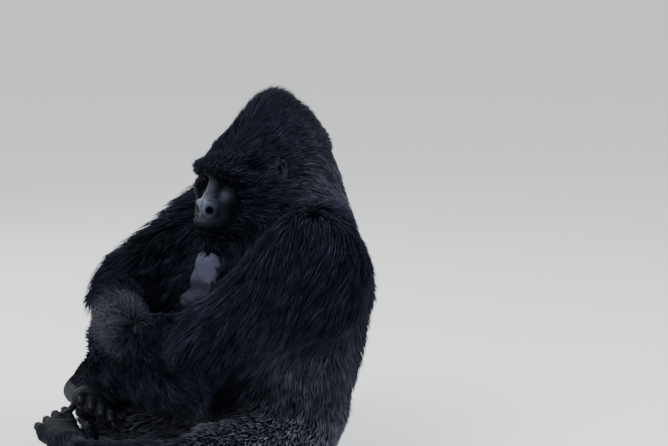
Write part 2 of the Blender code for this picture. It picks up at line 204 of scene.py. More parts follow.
def bump_at(distance, width):
    """A bell curve of the distance: exp(-(d / width)^2)."""
    return np.exp(-((distance / width) ** 2))


def path_distance(a, b, path):
    """Distance in the a, b plane from each point to a broken line."""
    least = np.full(len(a), 1.0)
    for (a0, b0), (a1, b1) in zip(path, path[1:]):
        da, db = a1 - a0, b1 - b0
        t = np.clip(((a - a0) * da + (b - b0) * db) / (da * da + db * db), 0.0, 1.0)
        least = np.minimum(least, np.hypot(a - a0 - t * da, b - b0 - t * db))
    return least


# ---------------------------------------------------------------- head
NOSTRIL_AT = (0.0155, -0.0505, -0.0600)
NOSTRIL_HALF = (0.0145, 0.0170)
NOSTRIL_RIM = 0.0068
NOSTRIL_OUT = unit(np.array((0.52, -0.84, -0.12)))
NOSTRIL_SIDE = unit(np.cross((0.0, 0.0, 1.0), NOSTRIL_OUT))
WING_FOLD = ((0.014, -0.032), (0.034, -0.040), (0.043, -0.056), (0.036, -0.076), (0.020, -0.083))
CHEEK_FOLD = ((0.030, -0.028), (0.050, -0.055), (0.056, -0.085), (0.052, -0.112))
NOSTRIL_AXES = np.stack((NOSTRIL_SIDE, np.cross(NOSTRIL_OUT, NOSTRIL_SIDE), NOSTRIL_OUT), axis=1)


def skull(p):
    """Crested skull, temples and jaw in head axes, out to the tips of the coat. x is already |x|."""
    return moulded(p, (
        (0.020, [
            ((0, 0.036, 0.024), (0.052, 0.040, 0.030)),
            ((0, 0.118, 0.046), (0.088, 0.082, 0.072)),
            ((0, 0.214, 0.045), (0.110, 0.094, 0.095)),
            ((0, 0.236, -0.035), (0.120, 0.094, 0.090)),
        ]),
        (0.020, [
            ((0, 0.026, 0.044), (0.036, 0.028, 0.020)),
            ((0, 0.096, 0.088), (0.046, 0.040, 0.034)),
            ((0, 0.154, 0.141), (0.046, 0.042, 0.038)),
            ((0, 0.212, 0.154), (0.048, 0.048, 0.040)),
            ((0, 0.280, 0.082), (0.076, 0.058, 0.060)),
            ((0, 0.302, 0.020), (0.100, 0.072, 0.070)),
        ]),
        (0.020, [
            ((0.016, 0.108, 0.080), (0.040, 0.048, 0.040)),
            ((0.026, 0.190, 0.098), (0.056, 0.066, 0.058)),
        ]),
        (0.020, [
            ((0.050, 0.088, 0.030), (0.044, 0.056, 0.056)),
            ((0.076, 0.135, -0.010), (0.048, 0.074, 0.080)),
        ]),
        (0.020, [
            ((0.000, 0.008, 0.046), (0.046, 0.030, 0.026)),
            ((0.030, 0.016, 0.040), (0.032, 0.030, 0.026)),
            ((0.026, 0.070, 0.060), (0.044, 0.044, 0.040)),
        ]),
        (0.020, [
            ((0.080, 0.122, -0.070), (0.052, 0.068, 0.070)),
            ((0.070, 0.075, -0.140), (0.050, 0.060, 0.056)),
            ((0.026, 0.000, -0.155), (0.036, 0.040, 0.036)),
        ]),
    ))


def face_forms(p):
    """Brow bar, cheekbones, bridge, muzzle, lips, chin and nostril wings. x is already |x|."""
    f = moulded(p, (
        (0.014, [
            ((0.000, -0.013, 0.031), (0.026, 0.017, 0.019)),
            ((0.038, -0.009, 0.031), (0.026, 0.018, 0.018)),
            ((0.070, 0.014, 0.019), (0.018, 0.019, 0.019)),
        ]),
        (0.014, [
            ((0.070, 0.026, -0.028), (0.026, 0.026, 0.020)),
            ((0.086, 0.095, -0.030), (0.034, 0.055, 0.056)),
        ]),
        (0.016, [
            ((0.060, 0.034, -0.052), (0.030, 0.034, 0.038)),
            ((0.056, 0.036, -0.110), (0.038, 0.040, 0.044)),
            ((0.032, -0.006, -0.106), (0.026, 0.028, 0.028)),
        ]),
        (0.016, [
            ((0, 0.012, -0.045), (0.052, 0.034, 0.036)),
            ((0, -0.034, -0.096), (0.050, 0.033, 0.022)),
        ]),
        (0.014, [
            ((0, -0.006, 0.006), (0.015, 0.017, 0.016)),
            ((0, -0.024, -0.024), (0.017, 0.015, 0.016)),
            ((0, -0.046, -0.044), (0.019, 0.014, 0.014)),
        ]),
        (0.008, [((0.0150, -0.038, -0.058), (0.0185, 0.0190, 0.0225))]),
    ))
    f = blend(f, nostril_rim(p), 0.007)
    lower_lip = [
        ((0, -0.034, -0.119), (0.042, 0.030, 0.012)),
        ((0, -0.020, -0.146), (0.040, 0.036, 0.024)),
    ]
    return blend(f, chain(p, lower_lip), 0.010)


def nostril_rim(p):
    """Thick ring round each nostril: an ellipse of half-axes wide and high, facing forwards and outwards.

    With a, b the place in the ring's plane over its half-axes and h the height over that plane,
    the distance is hypot((hypot(a, b) - 1) * mean half-axis, h) less the thickness.
    """
    gap = p - np.array(NOSTRIL_AT)
    a, b, h = (gap @ NOSTRIL_AXES).T
    wide, high = NOSTRIL_HALF
    out = (np.hypot(a / wide, b / high) - 1.0) * 0.5 * (wide + high)
    return np.hypot(out, h) - NOSTRIL_RIM


def upper_lip_line(x):
    """Height of the mouth line: lowest at the middle of the lip, dipping again at the corners."""
    return -0.1065 + 0.0030 * np.cos(np.minimum(x, 0.05) * 2.0 * math.pi / 0.05) - 6.0 * x * x


def ear_clay(p):
    """A flat shell with a round rim, part of an ellipse, and a hollow in front. x is already |x|."""
    x, y, z = EAR_LOCAL
    ear = chain(p, [((x - 0.004, y, z), (0.010, 0.017, 0.026))])
    rim = [((x + 0.006, y + 0.002 + 0.0155 * math.cos(a), z + 0.0235 * math.sin(a)), 0.0042)
           for a in np.radians(np.linspace(-80.0, 190.0, 9))]
    ear = blend(ear, chain(p, rim), 0.004)
    return carve(ear, chain(p, [((x + 0.011, y - 0.003, z - 0.001), (0.017, 0.0095, 0.0165))]), 0.003)


def eyelids(f, q):
    """Lids as a shell over the eyeball with an almond opening, their folds, and bags under the eye."""
    x, y, z = q.T
    eye = np.column_stack((x - EYE_LOCAL[0], y - EYE_LOCAL[1], z - EYE_LOCAL[2]))
    out = np.sqrt((eye * eye).sum(axis=1))
    f = blend(f, out - (EYE_R + 0.0024), 0.007)
    slant = eye[:, 2] - 0.10 * eye[:, 0] + 0.0036
    across = eye[:, 0] / 0.0122
    almond = np.abs(slant) - np.maximum(0.0030 * (1.0 - across * across), -0.01)
    almond = np.maximum(almond, eye[:, 1] + 0.002)
    almond = np.maximum(almond, (EYE_R - 0.003) - out)
    f = carve(f, almond, 0.0012)
    upper_fold = np.abs(slant - 0.0088 + 30.0 * eye[:, 0] ** 2)
    lower_fold = np.abs(slant + 0.0095 - 28.0 * eye[:, 0] ** 2)
    near_eye = bump_at(np.hypot(eye[:, 0], eye[:, 2]), 0.022)
    f += 0.0012 * near_eye * (bump_at(upper_fold, 0.0014) + bump_at(lower_fold, 0.0015))
    bags = np.hypot(eye[:, 0] * 0.9, eye[:, 2])
    below = smooth(-eye[:, 2], 0.002, 0.010) * smooth(-y, -0.02, 0.0)
    for radius, deep in ((0.0190, 0.0012), (0.0250, 0.0010), (0.0310, 0.0007)):
        f += deep * below * bump_at(bags - radius, 0.0016)
    return f


def nostrils(f, q):
    """Openings that face forwards and outwards, the septum's notch, and folds round wing and cheek."""
    x, y, z = q.T
    opening = np.array(NOSTRIL_AT) + 0.012 * NOSTRIL_OUT
    f = carve(f, chain(q, [
        (opening, (0.0092, 0.0092, 0.0112)),
        (opening - 0.018 * NOSTRIL_OUT, (0.0080, 0.0080, 0.0100)),
        (opening - 0.030 * NOSTRIL_OUT, (0.0050, 0.0050, 0.0065)),
    ]), 0.004)
    f += 0.0034 * bump_at(x, 0.0024) * bump_at(z + 0.052, 0.018) * smooth(-y, 0.030, 0.050)
    wing_fold = path_distance(x, z, WING_FOLD)
    f += 0.0024 * bump_at(wing_fold, 0.0026) * smooth(-y, 0.005, 0.025)
    cheek_fold = path_distance(x, z, CHEEK_FOLD)
    f += 0.0016 * bump_at(cheek_fold, 0.0030) * smooth(-y, -0.02, 0.0)
    return f


def mouth_lines(f, q):
    """The line of the mouth between two rolls, the chin's crease, and fine wrinkles on bridge and lips."""
    x, y, z = q.T
    line = z - upper_lip_line(x)
    wide = 1.0 - smooth(x, 0.046, 0.054)
    mouth = wide * smooth(-y, -0.012, 0.0)
    f += 0.0052 * mouth * bump_at(line, 0.0019)
    f -= 0.0018 * mouth * (bump_at(line - 0.0052, 0.0034) + bump_at(line + 0.0058, 0.0040))
    f += 0.0014 * mouth * bump_at(line + 0.0150, 0.0034)
    bridge = bump_at(x, 0.012) * smooth(-y, 0.0, 0.012) * bump_at(z + 0.016, 0.016)
    f += 0.0005 * bridge * np.sin(z * 1500.0)
    f += 0.00035 * mouth * bump_at(line, 0.012) * np.sin(x * 1700.0 + np.sin(z * 300.0))
    return f


def head_clay(p, depth):
    """Signed distance of the bare head: coat depth off the skull, then ears, lids, nostrils and mouth."""
    q = np.column_stack((np.abs(p[:, 0]), p[:, 1], p[:, 2]))
    f = blend(skull(q) + depth, face_forms(q), 0.012)
    f = carve(f, chain(q, [((EYE_HALF, -0.021, 0.001), (0.0195, 0.019, 0.0130))]), 0.008)
    f = blend(f, ear_clay(q), 0.006)
    return mouth_lines(nostrils(eyelids(f, q), q), q)


def head_clay_at(points, depth):
    """head_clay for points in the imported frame."""
    return head_clay(head_axes(points), depth)


# ---------------------------------------------------------------- hands and feet
SOLE_ROLL = 0.0005  # height of the rolls of skin across a sole


def finger_chains(side, curl):
    """Palm, four curled fingers and thumb of one hand: chains of stations in its own axes."""
    palm = [
        ((0.000, 0.000, 0.000), (0.034, 0.028, 0.028)),
        ((0.000, 0.055, 0.002), (0.048, 0.030, 0.023)),
        ((0.000, 0.095, -0.004), (0.052, 0.022, 0.020)),
    ]
    chains = []
    for k, reach in enumerate((0.060, 0.068, 0.064, 0.052)):
        spot = np.array((side * (0.042 - 0.028 * k), 0.100, -0.002))
        stations = [(spot, 0.0165)]
        for turn, part, girth in ((1.0, 1.0, 0.0152), (2.2, 0.6, 0.0142), (3.2, 0.45, 0.0122)):
            bend = math.radians(curl * turn)
            spot = spot + np.array((0.0, math.cos(bend), -math.sin(bend))) * reach * part
            stations.append((spot, girth))
        chains.append(stations)
    thumb = [
        ((side * 0.040, 0.030, -0.008), 0.018),
        ((side * 0.066, 0.062, -0.022), 0.0145),
        ((side * 0.070, 0.092, -0.034), 0.0118),
    ]
    return [palm], chains + [thumb]


def toe_chains(side):
    """Heel and sole, four toes and the big toe set apart: chains of stations in the foot's axes."""
    sole = [
        ((0.000, -0.030, -0.066), (0.032, 0.036, 0.034)),
        ((0.000, 0.000, -0.020), (0.036, 0.040, 0.038)),
        ((0.000, 0.070, -0.050), (0.044, 0.050, 0.031)),
        ((0.000, 0.140, -0.068), (0.048, 0.028, 0.022)),
    ]
    pads = [
        ((0.000, -0.030, -0.072), (0.033, 0.035, 0.031)),
        ((0.000, 0.070, -0.078), (0.039, 0.040, 0.021)),
        ((0.000, 0.140, -0.074), (0.046, 0.029, 0.021)),
    ]
    toes = []
    for k, reach in enumerate((0.050, 0.050, 0.044, 0.036)):
        across = side * (0.036 - 0.026 * k)
        start = 0.155 - 0.007 * k
        toes.append([
            ((across, start, -0.074), 0.0148),
            ((across, start + reach * 0.6, -0.072), 0.0138),
            ((across, start + reach, -0.082), 0.0122),
        ])
    big = [
        ((side * 0.034, 0.050, -0.070), 0.022),
        ((side * 0.068, 0.096, -0.070), 0.0195),
        ((side * 0.078, 0.134, -0.074), 0.0165),
    ]
    return [sole, pads], toes + [big]


def digits_clay(p, bodies, digits):
    """Palm or sole blended with its digits, with creases across each joint."""
    f = chain(p, bodies[0])
    for stations in bodies[1:]:
        f = blend(f, chain(p, stations), 0.008)
    group = None
    for stations in digits:
        finger = chain(p, stations)
        for (c0, _r0), (c1, _r1) in zip(stations, stations[1:]):
            way = unit(np.array(c1) - np.array(c0))
            finger = finger + 0.0009 * bump_at((p - np.array(c1)) @ way, 0.0022)
            finger = finger + 0.0006 * bump_at((p - np.array(c1)) @ way + 0.005, 0.0016)
        group = finger if group is None else blend(group, finger, 0.0016)
    return blend(f, group, 0.009)


def digit_chains(name):
    """Bodies and digits of a hand or foot."""
    limb = HANDS_FEET[name]
    return finger_chains(*limb[3:]) if name.startswith("hand") else toe_chains(*limb[3:])


def limb_clay_at(name, points):
    """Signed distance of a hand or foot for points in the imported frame, with slack rolls across a sole."""
    local = to_local(points, *limb_frame(name))
    f = digits_clay(local, *digit_chains(name))
    if name.startswith("foot"):
        x, y, z = local.T
        sole = smooth(-z, 0.030, 0.055)
        rolls = np.sin(y * 330.0 + 2.5 * np.sin(x * 70.0)) + np.sin(y * 190.0 - x * 90.0)
        f = f - SOLE_ROLL * sole * rolls
    return f


# ---------------------------------------------------------------- lie and depth of the coat
# for each node: coat depth, tuft length, tuft width, how far tufts fall under their weight; the order
# of the nodes numbers them in FLESH
COAT = {
    "head": (0.011, 0.033, 0.0016, 0.05),
    "neck": (0.022, 0.060, 0.0022, 0.25),
    "chest": (0.024, 0.042, 0.0023, 0.45),
    "belly": (0.020, 0.036, 0.0022, 0.40),
    "rump": (0.016, 0.032, 0.0022, 0.30),
    "upper_arm_left": (0.028, 0.080, 0.0024, 0.30),
    "upper_arm_right": (0.018, 0.080, 0.0024, 0.35),
    "forearm_left": (0.028, 0.078, 0.0024, 0.60),
    "forearm_right": (0.024, 0.050, 0.0019, 0.12),
}
PAIRED_COAT = {
    "thigh": (0.014, 0.030, 0.0021, 0.30),
    "shank": (0.016, 0.040, 0.0022, 0.35),
    "hand": (0.000, 0.018, 0.0016, 0.10),
    "foot": (0.000, 0.018, 0.0016, 0.10),
    "ear": (0.000, 0.012, 0.0012, 0.05),
}
COAT.update({f"{part}_{side}": row for part, row in PAIRED_COAT.items() for side in ("left", "right")})
FLESH = list(COAT)
DEPTH, LENGTH, _WIDTH, FALL = range(4)  # columns of the two tables above
# the fringe at the right elbow: how stiff its tufts are, and how much longer
FRINGE_STIFFNESS = 0.8
FRINGE_GROWTH = 0.25
FACE_FOCUS = np.array((0.0, -0.120, -0.040))  # the head's hair points away from here, in head axes
THROAT = ("neck", "chest")
THROAT_AT = (0.030, -0.200, 0.505)
THROAT_HALF = (0.060, 0.150, 0.084)

# ends of the line through the crown, the trunk and each limb
LINES = {
    "crown": tuple(HEAD_AT + HEAD_TURN @ np.array((0, 0.13, z)) for z in (-0.16, 0.20)),
    "trunk": (np.array((0.0, 0.03, 0.05)), np.array((0.0, 0.07, 0.80))),
    "upper_arm_left": (SHOULDER_L, ELBOW_L),
    "upper_arm_right": (SHOULDER_R, ELBOW_R),
    "forearm_left": (ELBOW_L, WRIST_L),
    "forearm_right": (ELBOW_R, WRIST_R),
    "thigh_left": (HIP_L, KNEE_L),
    "thigh_right": (HIP_R, KNEE_R),
    "shank_left": (KNEE_L, ANKLE_L),
    "shank_right": (KNEE_R, ANKLE_R),
    **{name: (limb[0], limb[0] + limb[1]) for name, limb in HANDS_FEET.items()},
}
# how the hair of the trunk leaves the middle line: share of x, then y and z
TRUNK_LIE = {
    "neck": (1.6, 0.10, -0.6),
    "chest": (1.2, 0.05, -0.8),
    "belly": (0.6, -0.10, -0.8),
    "rump": (0.6, -0.10, -0.8),
}


def on_nodes(nodes, names):
    """Which of the node numbers belong to the named nodes."""
    return np.isin(nodes, [FLESH.index(name) for name in names])


def lie_of(node, p):
    """Which way the hair of a node points, before it is laid on the skin."""
    if node in HEAD_NODES:
        way = head_axes(p) - FACE_FOCUS
        way[:, 2] *= 0.75
        return unit(way) @ HEAD_TURN.T
    if node in TRUNK_LIE:
        out, back, rise = TRUNK_LIE[node]
        ones = np.ones(len(p))
        return unit(np.column_stack((out * (p[:, 0] - SHIFT[0]), back * ones, rise * ones)))
    if node in HANDS_FEET:
        return np.ones((len(p), 1)) * unit(np.array(HANDS_FEET[node][1]))
    start, end = LINES[node]
    way = unit(end - start)
    if node.startswith("forearm"):
        way = -way
    if node.startswith("upper_arm"):
        side = 1.0 if node == "upper_arm_left" else -1.0
        top = 1.0 - smooth(np.linalg.norm(p - place(start), axis=1), 0.070, 0.220)
        return unit(way + (0.9 * side) * top[:, None] * np.array((1.0, 0.0, 0.0)))
    if node == "forearm_right":
        return unit(unit(p - place(WRIST_R)) + 0.35 * way + np.array((0.0, -0.30, 0.15)))
    return np.ones((len(p), 1)) * way


def face_share(local):
    """1 on the bare face, 0 on the haired head, in head axes."""
    x, y, z = np.abs(local[:, 0]), local[:, 1], local[:, 2]
    z_low = np.where(z > -0.055, (z + 0.055) / 0.068, (z + 0.055) / 0.076)
    oval = np.sqrt((x / 0.061) ** 2 + z_low ** 2)
    return (1.0 - smooth(oval, 0.84, 1.12)) * (1.0 - smooth(y, 0.030, 0.055))


def crest_share(local):
    """1 along the top of the crest, 0 away from it, in head axes."""
    x, y, z = np.abs(local[:, 0]), local[:, 1], local[:, 2]
    low = 0.095 - 0.050 * smooth(y, 0.190, 0.270) - 0.030 * (1.0 - smooth(y, 0.100, 0.150))
    return smooth(z - low, 0.0, 0.055) * (1.0 - smooth(x, 0.030, 0.070))


def off_face(local):
    """0 at the rim of the bare face, 1 well behind it: how far the head's hair has grown to full length."""
    x, y, z = np.abs(local[:, 0]), local[:, 1], local[:, 2]
    behind = np.maximum(y + 0.02, 0.0)
    return smooth(np.sqrt((x / 0.085) ** 2 + (z / 0.105) ** 2 + (behind / 0.120) ** 2), 0.55, 1.25)


def head_coat(local, coat):
    """Coat table of head points: short beside the face, long and stiff along the crest."""
    grown, crest = off_face(local), crest_share(local)
    scale = np.column_stack((
        0.30 + 0.70 * grown + 0.8 * crest, 0.34 + 0.66 * grown + 0.9 * crest, 0.8 + 0.2 * grown))
    return np.column_stack((coat[:, :3] * scale, coat[:, FALL] * (1.0 - crest) - 0.75 * crest))


def ear_share(local):
    """1 inside the ear's shell, 0 away from it, in head axes."""
    gap = (np.abs(local[:, 0]) - EAR_LOCAL[0] - 0.006, local[:, 1] - EAR_LOCAL[1], local[:, 2] - EAR_LOCAL[2])
    return 1.0 - smooth(np.sqrt(gap[0] ** 2 + gap[1] ** 2 + (gap[2] * 0.75) ** 2), 0.017, 0.024)


def bare_share(node, p, normal):
    """How bare each point of a node is: 1 naked, 0 fully coated."""
    if node in HEAD_NODES:
        local = head_axes(p)
        return np.maximum(face_share(local), ear_share(local))
    if node in THROAT:
        return throat_share(p)
    if node in HANDS_FEET:
        origin, turn = limb_frame(node)
        local = to_local(p, origin, turn)
        if node.startswith("hand"):
            palm = smooth(-(normal @ turn)[:, 2], -0.1, 0.3)
            return np.maximum(palm, smooth(local[:, 1], 0.085, 0.115))
        sole = smooth(-local[:, 2], 0.050, 0.066)
        return np.maximum(sole, smooth(local[:, 1], 0.085, 0.125))
    return np.zeros(len(p))


def throat_share(p):
    """1 in the middle of the bare throat and breast, 0 away from them."""
    return 1.0 - smooth(np.linalg.norm((p - place(THROAT_AT)) / np.array(THROAT_HALF), axis=1), 0.75, 1.15)


def throat_folds(p):
    """How far the skin of throat and breast stands out: the throat's sac, a crease, and slack folds below."""
    x, _y, z = (p - place(THROAT_AT)).T
    sac = 0.010 * (1.0 - smooth(np.hypot((x - 0.006) / 0.046, (z - 0.020) / 0.044), 0.20, 1.0))
    level = z + 0.026 + 2.0 * (x - 0.005) ** 2
    crease = -0.022 * np.exp(-((level / 0.013) ** 2))
    low = 1.0 - smooth(level, -0.020, -0.006)
    uneven = 0.6 + 0.4 * np.sin(x * 130.0 + 1.0)
    folds = 0.0020 * low * np.sin(level * 420.0 + 2.5 * np.sin(x * 70.0)) * uneven
    wrinkles = 0.0004 * np.sin(level * 1300.0 + 3.0 * np.sin(x * 110.0))
    return sac + crease + folds + wrinkles


def silver_share(p):
    """How silver the coat is: thighs and a saddle over lower back and flanks, and paler grey on the nape and
    in a wisp under each ear.
    """
    x, y, z = (p - SHIFT).T
    saddle = (1.0 - smooth(z, 0.300, 0.470)) * smooth(y + 0.9 * np.abs(x), 0.02, 0.20)
    thigh = (1.0 - smooth(z, 0.10, 0.30)) * (1.0 - smooth(-y, 0.22, 0.40))
    middle = 1.0 - smooth(np.abs(x), 0.060, 0.260)
    spine = (1.0 - smooth(z, 0.300, 0.640)) * middle * smooth(y, 0.100, 0.220)
    nape = bump_at(np.linalg.norm(p - place((0.055, 0.165, 0.690)), axis=1), 0.095)
    local = head_axes(p)
    off_ear = np.hypot(np.abs(local[:, 0]) - EAR_LOCAL[0], local[:, 1] - EAR_LOCAL[1])
    wisp = bump_at(np.hypot(off_ear, local[:, 2] + 0.022), 0.018)
    shares = (0.33 * saddle, 0.50 * spine, thigh, 0.70 * nape, 0.45 * wisp)
    return np.clip(np.maximum.reduce(shares), 0.0, 1.0)


# ---------------------------------------------------------------- meshes as arrays
def mesh_arrays(mesh):
    """Points and triangles of a mesh."""
    mesh.calc_loop_triangles()
    points = np.empty(len(mesh.vertices) * 3, np.float32)
    mesh.vertices.foreach_get("co", points)
    tris = np.empty(len(mesh.loop_triangles) * 3, np.int32)
    mesh.loop_triangles.foreach_get("vertices", tris)
    return points.reshape(-1, 3).astype(float), tris.reshape(-1, 3)


def mesh_from(name, points, tris):
    """A smooth-shaded mesh object made of triangles."""
    mesh = bpy.data.meshes.new(name)
    mesh.vertices.add(len(points))
    mesh.vertices.foreach_set("co", points.astype(np.float32).ravel())
    mesh.loops.add(tris.size)
    mesh.loops.foreach_set("vertex_index", tris.astype(np.int32).ravel())
    mesh.polygons.add(len(tris))
    mesh.polygons.foreach_set("loop_start", np.arange(0, tris.size, 3, dtype=np.int32))
    mesh.update(calc_edges=True)
    mesh.shade_smooth()
    obj = bpy.data.objects.new(name, mesh)
    bpy.context.scene.collection.objects.link(obj)
    return obj


# kinds of attribute: what Blender calls their values, and how many numbers each has
KINDS = {"FLOAT": ("value", 1), "FLOAT_VECTOR": ("vector", 3), "FLOAT_COLOR": ("color", 4)}


def store(obj, name, kind, values):
    """Put one value of a kind for each point on a mesh."""
    layer = obj.data.attributes.new(name, kind, "POINT")
    layer.data.foreach_set(KINDS[kind][0], values.astype(np.float32).ravel())


def stored(obj, name, kind):
    """Read back what store wrote."""
    key, width = KINDS[kind]
    values = np.empty(len(obj.data.vertices) * width, np.float32)
    obj.data.attributes[name].data.foreach_get(key, values)
    return values.reshape(-1, width).astype(float)


def grid_tris(rows, columns):
    """Triangles of a grid of points, two to a square, numbered row by row."""
    grid = np.arange(rows * columns).reshape(rows, columns)
    a, b, c, d = (part.ravel() for part in (grid[:-1, :-1], grid[1:, :-1], grid[:-1, 1:], grid[1:, 1:]))
    return np.vstack((np.column_stack((a, b, c)), np.column_stack((b, d, c))))


def normals_of(points, tris):
    """Area-weighted point normals."""
    a, b, c = (points[tris[:, k]] for k in range(3))
    face = np.cross(b - a, c - a)
    total = np.column_stack([
        np.bincount(tris.ravel(), np.repeat(face[:, k], 3), len(points)) for k in range(3)
    ])
    return unit(total)


def edges_of(tris):
    """Each edge once, as pairs of points, and the edge numbers of each triangle's three sides."""
    pairs = np.sort(tris[:, [0, 1, 1, 2, 2, 0]].reshape(-1, 2), axis=1).astype(np.int64)
    keys, back = np.unique(pairs[:, 0] << 32 | pairs[:, 1], return_inverse=True)
    return np.column_stack((keys >> 32, keys & 0xFFFFFFFF)), back.reshape(-1, 3)


def spread(values, edges, rounds, share=0.5):
    """Even out a field over the skin: each point moves towards the mean of its neighbours."""
    a, b = edges.T
    count = len(values)
    near = np.maximum(np.bincount(a, minlength=count) + np.bincount(b, minlength=count), 1)
    for _round in range(rounds):
        mean = np.column_stack([
            (np.bincount(a, v[b], count) + np.bincount(b, v[a], count)) / near for v in values.T
        ])
        values = values + share * (mean - values)
    return values


def refine(points, tris, fields, nodes, chosen):
    """Split each edge with two chosen ends, so chosen triangles become four and their rim two.

    A new point takes the mean of its edge's fields, and the node of the edge's first end.
    """
    edges, sides = edges_of(tris)
    split = chosen[edges[:, 0]] & chosen[edges[:, 1]]
    number = np.full(len(edges), -1)
    number[split] = len(points) + np.arange(split.sum())
    ends = edges[split]
    points = np.vstack((points, 0.5 * (points[ends[:, 0]] + points[ends[:, 1]])))
    fields = np.vstack((fields, 0.5 * (fields[ends[:, 0]] + fields[ends[:, 1]])))
    mid = number[sides]
    cuts = (mid >= 0).sum(axis=1)
    kept = [tris[cuts == 0]]
    (a, b, c), (ab, bc, ca) = tris[cuts == 3].T, mid[cuts == 3].T
    for corner in ((a, ab, ca), (ab, b, bc), (ca, bc, c), (ab, bc, ca)):
        kept.append(np.column_stack(corner))
    for side in range(3):
        one = (cuts == 1) & (mid[:, side] >= 0)
        start, end, far = (tris[one, (side + k) % 3] for k in range(3))
        kept.append(np.column_stack((start, mid[one, side], far)))
        kept.append(np.column_stack((mid[one, side], end, far)))
    return points, np.vstack(kept), fields, np.concatenate((nodes, nodes[ends[:, 0]]))


def nearest(a, b, chunk=2000):
    """For each row of a, the number of the closest row of b."""
    best = np.empty(len(a), int)
    a, b = a.astype(np.float32), b.astype(np.float32)
    size = (b * b).sum(axis=1)
    for start in range(0, len(a), chunk):
        part = a[start:start + chunk]
        best[start:start + chunk] = np.argmin(size - 2.0 * part @ b.T, axis=1)
    return best


def settle(obj):
    """Replace an object's mesh by what its modifiers make of it."""
    graph = bpy.context.evaluated_depsgraph_get()
    graph.update()
    mesh = bpy.data.meshes.new_from_object(obj.evaluated_get(graph))
    obj.modifiers.clear()
    obj.data = mesh


def slide_onto(points, distance, rounds, reach=0.004):
    """Move points down the slope of a distance function until they lie on its surface.

    The slope comes from the distance a small step along each axis; each move is at most reach.
    """
    step = 0.0002
    for _round in range(rounds):
        here = distance(points)
        slope = np.column_stack([
            distance(points + step * np.eye(3)[k]) - here for k in range(3)
        ]) / step
        steep = np.maximum((slope * slope).sum(axis=1), 0.25)
        move = slope * (here / steep)[:, None]
        far = np.linalg.norm(move, axis=1, keepdims=True)
        points = points - move * np.minimum(1.0, reach / np.maximum(far, 1e-9))
    return points


# ---------------------------------------------------------------- skin
def merged_arrays(name):
    """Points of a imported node, each once, and its triangles."""
    points, tris = mesh_arrays(NODES[name].data)
    single, back = np.unique(np.round(points, 6), axis=0, return_inverse=True)
    return single, back.ravel()[tris]


def flesh_points():
    """All points of the flesh nodes, and the number in FLESH of the node each belongs to."""
    spots, owner, faces, count = [], [], [], 0
    for k, name in enumerate(FLESH):
        points, tris = merged_arrays(name)
        spots.append(points)
        faces.append(tris + count)
        owner.append(np.full(len(points), k))
        count += len(points)
    return np.vstack(spots), np.vstack(faces), np.concatenate(owner)


def fused_flesh(voxel):
    """The flesh nodes and eyeballs as one closed surface on an even grid."""
    points, tris, _owner = flesh_points()
    for eye in ("eye_left", "eye_right"):
        more, faces = merged_arrays(eye)
        tris = np.vstack((tris, faces + len(points)))
        points = np.vstack((points, more))
    obj = mesh_from("fused", points, tris)
    remesh = obj.modifiers.new("fuse", "REMESH")
    remesh.mode = "VOXEL"
    remesh.voxel_size = voxel
    soften = obj.modifiers.new("soften", "SMOOTH")
    soften.factor = 0.5
    soften.iterations = 3
    settle(obj)
    arrays = mesh_arrays(obj.data)
    bpy.data.objects.remove(obj)
    return arrays


def detail_wanted(level, points, nodes):
    """Which points lie where the skin needs its level-th halving of the grid.

    Levels 0 and 1 take in face, ears, throat, hands and feet, level 2 the ears again, and levels 2
    and 3 the surroundings of eyes, nostrils and mouth.
    """
    local = head_axes(points)
    x, y, z = np.abs(local[:, 0]), local[:, 1], local[:, 2]
    on_ear = on_nodes(nodes, ("ear_left", "ear_right"))
    on_ear |= (np.abs(x - EAR_LOCAL[0]) < 0.03) & (np.hypot(y - EAR_LOCAL[1], z - EAR_LOCAL[2]) < 0.036)
    face = on_nodes(nodes, ("head",)) & (x < 0.080) & (y < 0.052) & (z > -0.180) & (z < 0.055)
    if level < 2:
        limbs = np.zeros(len(points), bool)
        for name in HANDS_FEET:
            reach = to_local(points, *limb_frame(name))[:, 1]
            limbs |= on_nodes(nodes, (name,)) & (reach > (-1.0, 0.055)[level])
        return face | on_ear | limbs | (throat_share(points) > 0.05) & on_nodes(nodes, THROAT)
    eye = np.hypot(x - EYE_HALF, z - EYE_LOCAL[2]) < (0.026, 0.017)[level - 2]
    nose = np.hypot(x - NOSTRIL_AT[0], z - NOSTRIL_AT[2]) < (0.034, 0.020)[level - 2]
    mouth = (x < 0.058) & (np.abs(z - upper_lip_line(x)) < (0.016, 0.006)[level - 2])
    found = face & (eye | nose & (y < -0.005) | mouth) & (y < 0.020)
    return found | on_ear if level == 2 else found


# how far the skin is first pressed into each nostril and into each ear's hollow
NOSTRIL_PUSH = 0.026
EAR_PUSH = 0.008


def hollow_share(local, reach):
    """Two shares in head axes: 1 in a nostril up to reach past its rim's middle, and 1 in an ear's hollow."""
    gap = np.column_stack((np.abs(local[:, 0]), local[:, 1:])) - np.array(NOSTRIL_AT)
    out = gap @ NOSTRIL_OUT
    off_axis = np.linalg.norm(gap - out[:, None] * NOSTRIL_OUT, axis=1)
    nostril = (1.0 - smooth(off_axis, 0.0060, 0.0110)) * (1.0 - smooth(out, reach, reach + 0.006))
    nostril *= smooth(out, -0.045, -0.030)
    ear = np.hypot(local[:, 1] - EAR_LOCAL[1] + 0.003, (local[:, 2] - EAR_LOCAL[2]) * 0.6)
    ear = (1.0 - smooth(ear, 0.005, 0.012)) * smooth(np.abs(local[:, 0]), 0.07, 0.09)
    return nostril, ear


